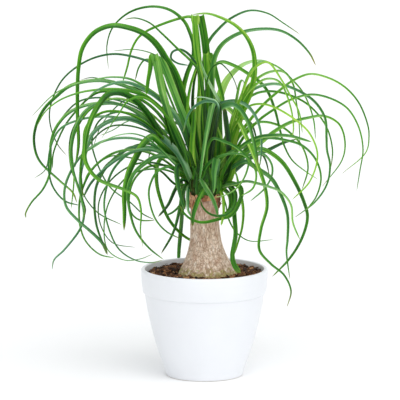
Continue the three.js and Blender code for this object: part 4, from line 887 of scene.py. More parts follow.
    "front_arch_left": (5.6, 1.8, -84, [(206, 188), (209, 165), (213, 140), (217.5, 118), (219.5, 107),
        (216.5, 102.8), (210.5, 101), (204, 101.4), (197.5, 104.4), (191.5, 109.6), (188, 115.5),
        (185.5, 123), (183, 133)]),
    "front_thin_arch": (2.6, 1, -70, [(208, 188), (213, 150), (217, 120), (218.5, 106), (215.5, 100.8),
        (210, 98.8), (204, 97.4), (198, 97.2), (193, 99.5)]),
    "left_neck_short": (5, 1.8, -38, [(196, 189), (191.6, 185.6), (188.6, 187.4, 4), (187.8, 194, 6),
        (187.6, 204, 6), (188.4, 211, 5), (191.4, 217, 3)], 0.5),
    "left_dark_drop": (6.8, 2.2, -46, [(196, 189), (190, 177), (184.5, 168), (180.5, 164.6), (177.6, 167.5),
        (176.9, 175), (178, 184), (179.8, 193), (182.2, 202), (185.4, 210)], 0.5),
    "left_shade_drop": (5.6, 2, 30, [(197, 189), (190.5, 177), (185, 171.5), (182.2, 177), (182.2, 189),
        (184.6, 200), (185.4, 209)], 0.5),
    "right_neck_loop": (5, 2, -26, [(214.5, 190), (225, 184.8), (231.8, 187), (234.8, 194), (234, 203),
        (230.4, 209.5), (225.5, 213.5)]),
    "right_neck_shade": (6, 2.4, 18, [(214, 192), (223, 189.5), (228.6, 194), (230.4, 202), (228.6, 209.5),
        (224, 214)]),
    "left_pale_blue": (7.2, 1.5, -108, [(199, 187), (191, 152), (185, 134), (179.5, 122.5), (171, 110),
        (161, 100.3), (151, 93), (140, 87), (129.5, 83), (120, 82), (111, 84), (102, 87.6), (94, 92.4),
        (86, 100)]),
    "base_light": (8.6, 4.5, -34, [(198, 188), (194.8, 176), (192.6, 160), (192.4, 142), (193.6, 124),
        (194.4, 107.5)]),
    "back_one": (8, 1.6, 150, [(203, 187), (199.5, 155), (198, 128), (199.5, 113), (204, 107),
        (209.5, 110.5), (212.5, 122), (213, 139)]),
    "back_two": (7.5, 1.5, 165, [(205, 187), (205.5, 152), (204.5, 125), (201.5, 112), (197, 109.5),
        (192.8, 116), (190.6, 132), (189, 150), (187, 166)]),
    "back_three": (7.5, 1.5, 140, [(202, 187), (193, 153), (186.5, 133), (180.5, 124), (174.5, 123),
        (168, 130), (163, 145), (160, 163)]),
    "back_four": (7, 1.4, 122, [(200, 187), (188, 158), (178, 140), (169, 131), (160, 132.5), (152.5, 143),
        (148, 161)]),
    "back_five": (7.5, 1.5, 140, [(208, 187), (217, 160), (225.5, 140), (234, 125), (242.5, 118.5),
        (250, 122), (255, 133), (257.5, 149)]),
    "back_six": (7, 1.4, 122, [(209, 187), (222, 167), (235, 152), (247, 146), (258, 149.5), (265.5, 160),
        (269.5, 176)]),
    "back_seven": (8, 1.6, 172, [(204, 187), (203, 152), (203.5, 122), (206, 104), (211.5, 95.5), (217, 99),
        (219, 110), (217, 119)]),
    "back_eight": (7.5, 1.5, 155, [(206, 187), (207.5, 158), (208, 132), (205.5, 117.5), (201, 113.5),
        (197.5, 121), (195.6, 137), (194, 156)]),
    "back_nine": (7, 1.4, 118, [(203, 189), (198.5, 168), (193, 152), (187, 144.5), (181, 147),
        (176.5, 158), (174, 172)]),
    "back_ten": (7, 1.4, 118, [(207, 189), (214, 168), (221, 154), (228.5, 147.5), (234, 150),
        (236.5, 160)]),
    "right_pale_arc": (3.4, 1.8, 76, [(213, 188), (222, 165), (229, 140), (233, 122), (238.5, 105),
        (243, 90), (247.5, 77), (253, 67.5), (260, 62), (268, 62.6), (281, 69), (292, 79.5), (302, 91),
        (309, 105), (314, 122), (315.5, 140)]),
    "middle_slant": (4.8, 2, -24, [(212, 189), (221.5, 170), (224, 152), (221.4, 138), (217.2, 127),
        (213.6, 117)]),
    "tall_light": (6.3, 13, -15, [(203, 188), (200.5, 165), (198.4, 140), (197.8, 120), (199.2, 100),
        (200.3, 85), (199.6, 70), (197.8, 60), (196.4, 50), (195.6, 40), (195, 30), (194.6, 20),
        (194.6, 15.8), (194.7, 14.4, -2.5), (195.3, 18, -5), (195.6, 27, -6)], 0.8),
    "mid_fold_end": (6, 4.4, -2, [(207.2, 53.6, 14), (209.4, 53.9, 15), (211.4, 57, 16), (213.1, 62, 17),
        (215, 68.5, 18), (217.2, 77, 19), (219.6, 86, 20), (222, 95, 21), (224, 104, 22)], 0.6),
    "left_fold_end": (5.8, 4.2, -3, [(152.9, 54.2, 97.6), (151.4, 57, 97.8), (150.8, 62, 97.6),
        (150.3, 68, 97), (149.3, 74, 96.5), (148, 81, 96), (147.2, 88, 96), (146.4, 95, 95)], 0.5),
    "dark_rise": (6, 2, -22, [(205, 188), (200, 160), (195.5, 130), (192.8, 108), (193, 92), (195, 78),
        (198.5, 66)]),
    "left_hanging_long": (3.6, 2.9, -84, [(190.5, 188), (176, 158), (157, 130), (137, 113), (115, 103),
        (98, 103), (84, 112), (75, 128), (71, 145), (70.5, 158), (72.5, 168), (75.5, 179), (79.5, 191),
        (83, 202), (85, 210), (83.5, 219)]),
    "left_mass_rise": (8, 3, -28, [(190, 188), (181, 165), (175, 148), (170.3, 133), (166, 119),
        (162, 105.5)]),
    "left_mass_hook": (3, 3.2, -76, [(193, 188), (180, 160), (163, 138), (143, 121), (122, 112), (104, 112),
        (92, 119), (85, 130), (83.5, 148), (80.5, 169), (83, 197)]),
}
print(len(LEAF_ROUTES), "leaves have a route")

# %% [markdown]
# ## From a route to a curve in space
# A picture point is a sight line, and the leaf's depth says where along it the point lies. A leaf rises
# close to the stem, swings out in its middle, and hangs down at its end, so its depth is shared out with
# a soft step. The rings of a blade stand close together where it bends and far apart where it runs
# straight, which keeps it smooth with few points.

# %% Points, headings and rings of a curve
DEPTH_SPREAD = 1.12
FINE_STEPS = 240
NUDGE = 1e-4


def seen_at(column, row, depth):
    """The point of a sight line that lies at a depth behind the stem."""
    aside = np.array([(column - PICTURE_CENTRE) * MM_PER_UNIT, 0, 0])
    sight = EYE_DISTANCE * FORWARD + aside + UPWARD * (PICTURE_CENTRE - row) * MM_PER_UNIT
    return EYE + sight * (depth - EYE[1]) / sight[1]


def route_points(depth, route):
    """The points of a route in space, with the leaf's depth shared out along it."""
    steps = [math.dist(a[:2], b[:2]) for a, b in zip(route, route[1:])]
    shares = np.concatenate([[0], np.cumsum(steps)]) / sum(steps)
    depths = DEPTH_SPREAD * depth * (0.35 * shares + 0.65 * shares ** 2 * (3 - 2 * shares))
    nearer = [point[2] if len(point) > 2 else 0 for point in route]
    return np.array([seen_at(x[0], x[1], d - n) for x, d, n in zip(route, depths, nearer)])


def unit(vectors):
    """Vectors brought to a length of 1."""
    return vectors / np.maximum(1e-9, np.linalg.norm(vectors, axis=-1, keepdims=True))


def headings(points, places):
    """The directions of a curve at places from 0 to 1."""
    places = np.asarray(places, dtype=float)
    ahead = smooth_curve(points, np.minimum(1, places + NUDGE))
    behind = smooth_curve(points, np.maximum(0, places - NUDGE))
    return unit(ahead - behind)


def ring_places(points, longest_step, largest_turn):
    """Places along a curve for the rings of a blade, without its end."""
    fine = np.linspace(0, 1, FINE_STEPS + 1)
    line = smooth_curve(points, fine)
    ways = headings(points, fine)
    steps = np.linalg.norm(np.diff(line, axis=0), axis=1)
    turns = np.arccos(np.clip(np.sum(ways[1:] * ways[:-1], axis=1), -1, 1))
    effort = np.concatenate([[0], np.cumsum(steps / longest_step + turns / largest_turn)])
    count = math.ceil(effort[-1])
    return np.interp(effort[-1] * np.arange(count) / count, effort, fine)


trial = route_points(*LEAF_ROUTES["left_big_arch"][2:])
trial_length = np.sum(np.linalg.norm(np.diff(trial, axis=0), axis=1))
print(f"The big left arch is {trial_length:.0f} mm long")

# %% [markdown]
# ## How a blade lies
# A strap leaf shows its face to the eye and turns a little to the side that it hangs on. A leaf that
# swings far out to the side turns most, and one that stands upright, or comes straight forward, hardly
# turns at all. Over a sharp fold, and where it runs along the sight line, "facing the eye" has no
# meaning, so there the blade carries its last direction on. These directions are found on a few guide
# rings, as on the solid model, and the fine rings blend them, so that the fine blade fills the solid one.
# A blade that bends edgewise is narrowed, since a real leaf buckles rather than bends that way.

# %% Across a blade
GUIDE_STEP = 62
GUIDE_TURN = 0.5
LARGEST_TWIST = 0.6
SHARP_FOLD = 0.12
BEND_REACH = 0.01
BEND_ROOM = 0.75
SIDE_TURN = math.radians(50)
UPRIGHT_ROOM = 60
ROOT_SHARE = 0.12


def across_at(middle, along, last):
    """The way a blade lies across its curve, after the ring before it."""
    square = np.cross(unit(middle - EYE), along)
    clearness = np.linalg.norm(square)
    square = unit(square)
    if last is None:
        return square
    last_middle, last_along, last_across = last
    if square @ last_across < 0:
        square = -square
    carried = unit(last_across - along * (last_across @ along))
    bend = math.acos(np.clip(along @ last_along, -1, 1)) / max(1e-6, math.dist(middle, last_middle))
    trust = float(smoothstep(clearness, 0.3, 0.8)) if bend < SHARP_FOLD else 0
    allowed = LARGEST_TWIST / max(1e-6, math.acos(np.clip(carried @ square, -1, 1)))
    return unit(carried + (square - carried) * min(trust, allowed))


def across_ways(points, places, turn):
    """Unit vectors across a blade at the places, turned about its run."""
    guides = ring_places(points, GUIDE_STEP, GUIDE_TURN)
    middles = smooth_curve(points, guides)
    alongs = headings(points, guides)
    ways = []
    last = None
    for middle, along in zip(middles, alongs):
        last = (middle, along, across_at(middle, along, last))
        ways.append(last[2])
    ways = np.array(ways) * math.cos(turn) + np.cross(alongs, ways) * math.sin(turn)
    blended = np.stack([np.interp(places, guides, ways[:, axis]) for axis in range(3)], axis=-1)
    run = headings(points, places)
    return unit(blended - run * np.sum(blended * run, axis=1, keepdims=True))


def width_share(places, tip_share, taper_from):
    """How wide a leaf is along its length: a slightly narrow root, then from a place on an even taper."""
    root = 0.8 + 0.2 * np.minimum(1, places / ROOT_SHARE)
    return root * (1 + (tip_share - 1) * np.maximum(0, places - taper_from) / (1 - taper_from))


def room_at(points, places, ways):
    """Half the width that the curve's edgewise bend leaves room for."""
    before = np.maximum(0, places - BEND_REACH)
    after = np.minimum(1, places + BEND_REACH)
    swing = np.sum((headings(points, after) - headings(points, before)) * ways, axis=1)
    reach = np.linalg.norm(smooth_curve(points, after) - smooth_curve(points, before), axis=1)
    return BEND_ROOM * reach / np.maximum(1e-6, np.abs(swing))


print("Guide rings of the big left arch:", len(ring_places(trial, GUIDE_STEP, GUIDE_TURN)))

# %% [markdown]
# ## A blade with a gutter
# A ponytail palm's leaf is a long thin strap with a shallow gutter on its upper side. It could be a flat
# strip, but then it would flash like paper: the gutter gives it one lit half and one dark half. Each ring
# has seven places across the upper face and five under it. They meet at sharp margins, so that every
# blade is a thin closed body. Its far end draws to a point.

# %% The blade
GUTTER = np.array([-1, -0.68, -0.34, 0, 0.34, 0.68, 1])
AROUND = np.concatenate([GUTTER, GUTTER[-2:0:-1]])
IS_UNDER = np.concatenate([np.zeros(7), np.ones(5)])
RING_SIZE = len(AROUND)
ROOT_FACES = [(0, 11, 1), (1, 11, 10, 2), (2, 10, 9, 3), (3, 9, 8, 4), (4, 8, 7, 5), (5, 7, 6)]
GUTTER_CURVE = 1.7
FULL_BODY_HALF = 1.6


def blade(middles, alongs, ways, halves, bows, thickness, tip):
    """One blade as points, faces and the values that its finish reads."""
    unders = np.cross(alongs, ways)
    body = thickness * np.minimum(1, halves / FULL_BODY_HALF)
    gutter = bows[:, None] * (1 - np.abs(AROUND) ** GUTTER_CURVE)
    depths = gutter + body[:, None] * IS_UNDER * (1 - AROUND ** 2)
    points = middles[:, None] + ways[:, None] * (halves[:, None] * AROUND)[..., None]
    points = points + unders[:, None] * depths[..., None]
    rings = len(middles)
    faces = list(ROOT_FACES)
    for ring in range(rings - 1):
        low = ring * RING_SIZE
        for i in range(RING_SIZE):
            j = (i + 1) % RING_SIZE
            faces.append((low + i, low + j, low + RING_SIZE + j, low + RING_SIZE + i))
    low = (rings - 1) * RING_SIZE
    faces += [(low + i, low + (i + 1) % RING_SIZE, rings * RING_SIZE) for i in range(RING_SIZE)]
    path = np.vstack([middles, tip])
    run = np.concatenate([[0], np.cumsum(np.linalg.norm(np.diff(path, axis=0), axis=1))])
    over_rings = np.append(np.repeat(run[:-1], RING_SIZE), run[-1])
    values = {
        "run": over_rings,
        "along": over_rings / run[-1],
        "strip": np.append((halves[:, None] * AROUND).ravel(), 0),
        "margin": np.append(np.tile(np.abs(AROUND), rings), 1),
        "under": np.append(np.tile(IS_UNDER, rings), 0),
        "level": np.append(np.repeat(1 - np.abs(alongs[:, 2]), RING_SIZE), 0),
    }
    rims = np.append(np.tile(np.abs(AROUND) == 1, rings), True)
    return np.vstack([points.reshape(-1, 3), tip]), faces, values, rims


def join_blades(name, blades, material, stands_for, slot):
    """Makes one piece of many blades, each with values of its own."""
    points, faces, rims = [], [], []
    values = {}
    placed = 0
    for (blade_points, blade_faces, blade_values, blade_rims), own in blades:
        points.append(blade_points)
        faces += [tuple(corner + placed for corner in face) for face in blade_faces]
        rims.append(blade_rims)
        placed += len(blade_points)
        constant = {title: np.full(len(blade_points), value) for title, value in own.items()}
        for title, numbers in {**blade_values, **constant}.items():
            values.setdefault(title, []).append(numbers)
    whole = {title: np.concatenate(parts) for title, parts in values.items()}
    rims = np.concatenate(rims)
    return add_piece(name, np.vstack(points), faces, material, stands_for, slot, whole, rims)


print("A ring of a blade has", RING_SIZE, "points")

# %% [markdown]
# ## A leaf along its curve
# The blade follows the curve of its route and wears the route's widths. A small slow twist of its own
# keeps it from lying like a ribbon on a table, and its last few centimetres draw to a point. Blender
# could bevel a curve object into a strap, but that gives no gutter and no room to narrow a bend.

# %% A strap leaf
LEAF_STEP = 6.5
LEAF_TURN = 0.11
GUTTER_SHARE = 0.2
LEAF_THICKNESS = 0.45
NARROWEST_HALF = 0.32
POINT_SHARE = 0.07
SWAY_TURNS = 5


def strap(points, width, tip_width, turn, taper_from, sway, phase):
    """A leaf blade along a curve."""
    places = ring_places(points, LEAF_STEP, LEAF_TURN)
    ways = across_ways(points, places, turn)
    alongs = headings(points, places)
    lean = (sway * np.sin(phase + SWAY_TURNS * places))[:, None]
    ways = ways * np.cos(lean) + np.cross(alongs, ways) * np.sin(lean)
    wanted = 0.5 * width * width_share(places, tip_width / width, taper_from)
    halves = np.maximum(NARROWEST_HALF, np.minimum(wanted, room_at(points, places, ways)))
    ending = np.clip((places - 1 + POINT_SHARE) / POINT_SHARE, 0, 1)
    halves = halves * np.sqrt(1 - 0.96 * ending ** 1.5)
    bows = 2 * halves * GUTTER_SHARE
    middles = smooth_curve(points, places)
    return blade(middles, alongs, ways, halves, bows, LEAF_THICKNESS, smooth_curve(points, [1.0])[0])


print("Rings of the big left arch:", len(ring_places(trial, LEAF_STEP, LEAF_TURN)))

# %% [markdown]
# ## Light leaves and dark leaves
# No two leaves of a plant have the same green: young ones are light, old ones deep and bluish, and a leaf
# in the shade of others looks darker still. These tables set single leaves apart, and their numbers hold
# painted shade and painted light as well as each leaf's own green. Their numbers were found by measuring
# each leaf in a render and in the photograph, and by rounding the change it needed.
# Light goes from 0, nearly black, to 1, nearly yellow. A leaf that changes has the light of its root and
# of its far end, the place of the change and how far it spreads. Bluish goes from green, at 0, to teal,
# at 1; the teal is partly a leaf's own bluish tint and partly a painted sheen that stands for the sky
# reflected in the leaf. A minus keeps a leaf green also where it runs level, against the painted sky
# reflection there. Leaves that aren't listed draw theirs from a seeded random generator.

# %% What single leaves look like
LEAF_LIGHT = {
    "bright_strand": 0.85, "left_bright_low": 0.45, "left_pale_blue": 0.6,
    "left_dark_thin": 0.1, "left_long_low": 0.25, "neck_wrap": 0.4, "neck_wrap_inner": 0.2,
    "olive_upright": 0.85, "front_hanging": 0.6, "left_shade_drop": 0.06, "right_neck_shade": 0.4,
    "dark_upright": 0.15, "right_drop": 0.75, "right_inner_rise": 0.9, "left_highest": 0.45,
    "left_neck_short": 0.7, "before_trunk_left": 0.45, "before_trunk_right": 0.7, "left_lowest": 0.65,
    "right_pale_arc": 0.7, "right_strand_one": 0.7, "right_strand_two": 0.82, "right_slope_down": 0.85,
    "right_kinked": 0.55, "middle_slant": 0.82, "right_small_fold": 0.7, "tall_arch_left": 0.6,
    "right_arch": 0.55, "right_highest": 0.4, "tall_light": 0.85, "tall_fold": 0.38, "mid_fold": 0.66,
    "mid_fold_end": 0.7, "left_fold_end": 0.5, "far_left_loop": 0.5, "far_right_arc": 0.68,
    "right_outer_arc": 0.6, "right_low_arch": 0.5, "right_low_kinked": 0.5, "left_sway": 0.56,
    "right_drop_soil": 0.46, "right_thick_arc": 0.65, "left_blunt": 0.5, "left_thin_high": 0.4,
    "left_reach": 0.66, "left_low_reach": 0.6, "left_ring_front": 0.55, "left_edge_hook": 0.6,
    "left_low_thin": 0.55, "left_bow_back": 0.4, "left_bow_front": 0.42, "left_bow_low": 0.45,
    "left_inner_bow": 0.45, "behind_trunk": 0.55, "left_drop_short": 0.05, "behind_rim": 0.4,
    "left_thin_arc": 0.6, "left_mid_arc": 0.45, "left_strand_two": 0.6, "left_fan_one": 0.4,
    "right_thin_tip": 0, "right_round": 0.5, "right_arc_back": 0.45, "right_arc_front": 0.95,
    "right_low_thin": 0.65, "front_thin_hook": 0.58, "front_hook_tail": 0.7, "right_curl": 0.75,
    "front_crossing": 0.45, "neck_tip": 0.85, "dark_rise": 0.28, "left_hanging_long": 0.58,
    "left_mass_rise": 0.25, "left_mass_hook": 0.45,
}
# The dark roots in this table are partly painted shade, deep inside the head.
CHANGING_LIGHT = {
    "front_glossy": (0.0, 0.64, 0.5, 0.01), "right_pale": (0.54, 1.1, 0.52, 0.06),
    "left_big_arch": (0.26, 0.56, 0.6, 0.1), "left_light_inner": (0.3, 0.64, 0.55, 0.2),
    "left_fold": (0.38, 0.78, 0.55, 0.2), "right_over_top": (0.85, 0.78, 0.4, 0.2),
    "right_front_long": (0.9, 0.56, 0.62, 0.2), "light_strand": (0.34, 0.88, 0.5, 0.12),
    "left_wide_bright": (0.2, 0.6, 0.45, 0.1), "base_light": (0.85, 0.55, 0.6, 0.4),
    "left_dark_drop": (-0.05, 0.3, 0.42, 0.05), "front_arch_left": (-0.1, 0.58, 0.62, 0.05),
    "front_thin_arch": (0.0, 0.7, 0.74, 0.04), "front_broad_arc": (0.0, 0.44, 0.48, 0.06),
    "front_dark_arc": (-0.05, 0.6, 0.46, 0.05),
}
BLUISH = {
    "dark_upright": 0.6, "front_dark_arc": 0.9, "front_arch_left": 0.8, "front_thin_arch": 1,
    "left_pale_blue": 0.7, "left_dark_thin": 0.5, "left_lowest": 0.9, "front_broad_arc": 0.4,
    "right_arch": 0.4, "left_long_low": 0.7, "left_thin_high": 0.1, "left_reach": 0.3, "left_curl": 0.7,
    "left_thin_arc": 0.4, "tall_light": 0.2, "tall_fold": -0.4, "right_pale": 0.3, "left_light_inner": 0.35,
    "left_fold": 0.35, "light_strand": 0.7, "base_light": 0, "bright_strand": -0.2, "olive_upright": 0.1,
    "right_over_top": 0, "mid_fold": -0.1, "mid_fold_end": -0.4, "left_fold_end": 0.1,
    "right_front_long": 0.2, "front_glossy": 0.95, "front_hanging": 0.8, "right_drop": -0.1,
    "left_big_arch": 0, "tall_arch_left": 0, "left_dark_drop": 0.4, "neck_wrap": -0.3,
    "neck_wrap_inner": 0.1, "before_trunk_right": 0.8, "left_neck_short": 0.6, "left_highest": 0.1,
    "far_left_loop": 0.3, "left_low_reach": 0, "left_ring_back": -0.1, "left_bow_back": 0.5,
    "left_bow_front": 0.5, "left_bright_low": 0.3, "left_inner_tail": -0.1, "behind_trunk": -0.4,
    "left_drop_short": 0.3, "left_drop_long": 0.3, "behind_rim": 0.2, "left_mid_arc": 0.8,
    "left_fan_one": -0.1, "right_highest": 0.4, "right_long_slope": 0.1, "far_right_arc": 0.1,
    "right_thick_arc": 0.1, "right_level": 0.2, "right_round": 0.2, "right_kinked": 0.5,
    "right_arc_back": 0, "right_arc_front": -0.2, "right_slope_down": -0.1, "right_low_arch": 0.1,
    "right_low_kinked": 0.4, "right_low_thin": 0.3, "front_thin_hook": 0.2, "right_drop_soil": -0.3,
    "neck_tip": -0.4, "right_neck_shade": -0.4, "dark_rise": -0.1, "left_hanging_long": 0.45,
    "left_mass_rise": 0, "left_mass_hook": -0.1, "left_wide_bright": 0.1, "left_sway": 0.6,
}
DRY_TIPS = {
    "right_highest": 0.9, "right_arch": 0.9, "right_thick_arc": 0.8, "right_front_long": 0.7,
    "tall_light": 0, "tall_fold": 0, "mid_fold": 0, "left_fold": 0, "left_light_inner": 0,
    "light_strand": 0, "bright_strand": 0,
}
print(len(LEAF_LIGHT) + len(CHANGING_LIGHT), "leaves have a light of their own")

# %% [markdown]
# ## Leaves from routes
# A leaf is wider than it looks where it turns its face aside, so its width is divided by the cosine of
# that turn. Leaves at the back get darker tones, as painted shade of the head, and thin leaves and those
# on the right are the lighter ones; on the right, where the light comes in, that is painted light. The
# leaves are kept in four bunches, because one mesh a leaf would be a hundred and more objects, and one
# mesh in all would be heavy to handle.

# %% The leaves in four bunches
LEAF_SEED = 58
LARGEST_SWAY = 0.16
DARKEST = 0.14
LIGHTEST = 0.5
LIGHTEST_THIN_OR_RIGHT = 0.62
THIN_LEAF = 3.5
BACK_SHADE = 0.2

dice = np.random.default_rng(LEAF_SEED)
bunches = {"left": [], "right": [], "middle": [], "back": []}
for name, (width, tip_width, depth, route, *taper) in LEAF_ROUTES.items():
    offsets = [(PLANT_AXIS - point[0]) * MM_PER_UNIT for point in route]
    sideways = max(offsets) + min(offsets)
    turn = SIDE_TURN * sideways / (abs(sideways) + abs(depth) + UPRIGHT_ROOM)
    made = strap(
        route_points(depth, route), width / math.cos(turn), tip_width, turn,
        taper[0] if taper else ROOT_SHARE, LARGEST_SWAY * dice.uniform(0.3, 1), dice.uniform(0, 6),
    )
    side = name.split("_")[0]
    # Painted light and shade: leaves on the right may draw lighter tones, and back leaves are made darker.
    lightest = LIGHTEST_THIN_OR_RIGHT if side == "right" or width < THIN_LEAF else LIGHTEST
    tone = LEAF_LIGHT.get(name, dice.uniform(DARKEST, lightest) - (BACK_SHADE if side == "back" else 0))
    before, after, place, spread = CHANGING_LIGHT.get(name, (tone, tone, 0.5, 0.5))
    values = made[2]
    changed = smoothstep(values["along"], place - spread, place + spread)
    values["tone"] = before + (after - before) * changed
    own = {
        "dry": DRY_TIPS.get(name, dice.uniform(0, 0.5)),
        "seed": dice.uniform(),
        "blue": BLUISH.get(name, dice.uniform(0, 0.7)),
    }
    bunches[side if side in bunches else "middle"].append((made, own))
print({side: len(made) for side, made in bunches.items()})

# %% [markdown]
# ## Sheaths round the core
# At its root each leaf widens and clasps the ones inside it, so the heart of the head is a tight spiral
# of sheaths. They are short blades too, but their gutter faces the core, and they follow its outline up
# before they break away. The spiral uses the golden turn, which is how such a plant really sets its
# leaves: no sheath stands right over another.

# %% The sheaths
CORE_OUTLINE = [(15.4, 213.3), (17.4, 217), (19.4, 224), (18.6, 231), (14, 243), (8.5, 255), (1, 264)]
SHEATH_COUNT = 44
SHEATH_THICKNESS = 0.5
SHEATH_BOWS = [1.6, 1.4, 1, 0.6, 0.3]
GOLDEN_TURN = math.pi * (3 - math.sqrt(5))


def core_radius(z):
    """The core of the leaf head at a height."""
    radii, heights = zip(*CORE_OUTLINE)
    return np.interp(z, heights, radii)


def ring_point(bearing, radius, z):
    """A point round the plant's axis."""
    return np.array([radius * math.cos(bearing), radius * math.sin(bearing), z])


def clasping(points, halves, bows, thickness):
    """A short blade round the axis, with its gutter towards the core."""
    places = np.linspace(0, 1, 16)[:-1]
    middles = smooth_curve(points, places)
    alongs = headings(points, places)
    outward = unit(middles * [1, 1, 0])
    ways = unit(np.cross(outward, [0, 0, 1.0]))
    ways = unit(ways - alongs * np.sum(ways * alongs, axis=1, keepdims=True))
    taper = np.interp(places, np.linspace(0, 1, len(halves)), halves)
    bow = np.interp(places, np.linspace(0, 1, len(bows)), bows)
    return blade(middles, alongs, ways, taper, bow, thickness, smooth_curve(points, [1.0])[0])


sheaths = []
for i in range(SHEATH_COUNT):
    bearing = i * GOLDEN_TURN
    share = i / (SHEATH_COUNT - 1)
    root_z = 214 + 28 * share
    rise = dice.uniform(20, 46)
    flare = dice.uniform(3, 14) * (1 - 0.5 * share)
    bearing_end = bearing + dice.normal(0, 0.3)
    points = []
    for up, out in ((0, -0.6), (0.25, 0.5), (0.5, 1.2)):
        z = root_z + rise * up
        points.append(ring_point(bearing, core_radius(z) + out, z))
    top_radius = core_radius(root_z + 0.5 * rise) + flare
    points.append(ring_point(bearing_end, top_radius * 0.75 + 1, root_z + 0.78 * rise))
    points.append(ring_point(bearing_end, top_radius + 1, root_z + rise))
    half = dice.uniform(2.2, 4.8) * (1 - 0.3 * share)
    halves = [half * 1.1, half, 0.7 * half, 0.45 * half, 0.5]
    made = clasping(np.array(points), halves, SHEATH_BOWS, SHEATH_THICKNESS)
    # The sheaths draw darkish tones: partly their own old green, partly painted shade deep in the head.
    own = {
        "tone": dice.uniform(0.05, 0.6),
        "dry": dice.uniform(0, 1),
        "seed": dice.uniform(),
        "blue": dice.uniform(0, 0.4),
    }
    made[2]["along"] = 0.1 + made[2]["along"] * 0.5
    sheaths.append((made, own))
print(len(sheaths), "sheaths")

# %% [markdown]
# ## Leaf finish
# A leaf is mid green, paler and more yellow at its clasping root, with fine parallel veins and faint long
# streaks of lighter and darker green. Its underside is duller and a little grey. Tips dry to olive and
# straw. The streaks are noise that is read in the leaf's own measure, millimetres across and along, which
# the blades carry on their points: noise in the room's space would cut across the leaf. One half of the
# gutter is painted a little lighter than the other, as painted light on the slope that would catch more of
# it. Where a blade runs level, its colour is made lighter and bluer, as a painted sheen that stands for the
# sky it would mirror. One smooth green would be simpler, but the leaves would then run together into one
# mass. Light passes through a leaf, so the surface has some scattering under it, the same all over.

# %% The leaf finish and the leaf pieces
leaf = Finish("strap_leaf")
strip = leaf.stored("strip")
run = leaf.stored("run")
along = leaf.stored("along")
seed = leaf.stored("seed")
under = leaf.stored("under")
margin = leaf.stored("margin")
streak_place = leaf.node("CombineXYZ", {}, {0: strip, 1: run * 0.018, 2: seed * 90})
streaks = leaf.grain(streak_place, 0.8, detail=4, roughness=0.65)
veins = leaf.grain(leaf.stretched(streak_place, (1, 0.2, 1)), 3.6, detail=1)
clouds = leaf.grain(leaf.node("CombineXYZ", {}, {0: strip * 0.1, 1: run * 0.03, 2: seed * 70}), 0.8)
broad = leaf.grain(leaf.stretched(streak_place, (0.32, 0.5, 1)), 1, detail=2)
midrib = 1 - leaf.band(margin, 0.0, 0.16)
level = leaf.stored("level")
lit_half = leaf.band(strip, -0.5, 0.5) - 0.5
# Painted light in the tone: one half of the gutter is lighter, and so is a blade where it runs level.
tone = (leaf.stored("tone") + (streaks - 0.5) * 0.9 + (broad - 0.5) * 0.9 + (clouds - 0.5) * 0.4
        + lit_half * 0.2 - midrib * 0.1 + (level - 0.35) * 0.22)
green = leaf.node("ValToRGB", {"stops": [
    (0.0, hue(10, 50, 6)),
    (0.25, hue(25, 86, 12)),
    (0.5, hue(56, 126, 16)),
    (0.75, hue(106, 167, 32)),
    (1.0, hue(170, 210, 84)),
]}, {0: tone})
# The teal is partly a leaf's own bluish tint and partly a painted sheen; its light end stands for the sky
# reflected in the leaf.
teal = leaf.node("ValToRGB", {"stops": [
    (0.0, hue(10, 42, 24)),
    (0.25, hue(24, 76, 47)),
    (0.5, hue(58, 112, 80)),
    (0.75, hue(110, 156, 120)),
    (1.0, hue(170, 206, 171)),
]}, {0: tone})
# Painted reflection: a blade is made bluer where it runs level, as if it mirrored the sky.
blue = leaf.stored("blue") + (level - 0.2) * 0.4
blended = leaf.mix(leaf.band(blue, 0, 1) * (1 - under * 0.6), green, teal)
veined = leaf.mix(leaf.band(veins, 0.5, 0.7) * 0.18, blended, hue(128, 180, 60))
edged = leaf.mix(leaf.band(margin, 0.62, 0.95) * 0.2, veined, hue(130, 186, 60))
dull = leaf.mix(under * 0.12, edged, hue(64, 116, 50))
root_share = 1 - leaf.band(along, 0.0, 0.2)
rooted = leaf.mix(root_share * 0.4, dull, hue(98, 146, 30))
pale_root = leaf.mix((1 - leaf.band(along, 0.0, 0.025)) * 0.35, rooted, hue(150, 160, 86))
tip_share = leaf.band(along + (clouds - 0.5) * 0.05, 0.93, 1.0) * leaf.stored("dry")
tipped = leaf.mix(tip_share, pale_root, hue(150, 128, 60))
strap_leaf = leaf.coat_with({
    "Base Color": tipped,
    "Roughness": 0.3 + streaks * 0.16 + under * 0.1,
    "Normal": leaf.bump(veins + streaks * 0.6, 0.4, 0.0004),
    "Subsurface Weight": 0.18,
    "Subsurface Radius": (0.35, 1.0, 0.12),
    "Subsurface Scale": 0.0016,
    "Specular IOR Level": 0.2,
})
for side, blades in bunches.items():
    join_blades(f"{side}_leaves", blades, strap_leaf, "leaf_head", "leaf")
join_blades("clasping_sheaths", sheaths, strap_leaf, "leaf_head", "leaf")

# %% [markdown]
# ## The core behind the sheaths
# Between the sheaths one looks into the dark heart of the head, where old bases lie packed round the
# growing point. It could be left empty, but then daylight would show through the neck. A plain body of
# the core's outline fills it, a little inside the sheaths, dark olive with brown, dry patches: the olive
# and brown are the old bases' own colour, and their near black depth is painted shade of the heart.

# %% The core
core_finish = Finish("packed_old_bases")
core_place = core_finish.place()
core_fibres = core_finish.grain(core_finish.stretched(core_place, (1, 1, 0.12)), 420, detail=3)
core_patches = core_finish.grain(core_place, 90, detail=2)
core_tone = core_fibres * 0.6 + core_patches * 0.4
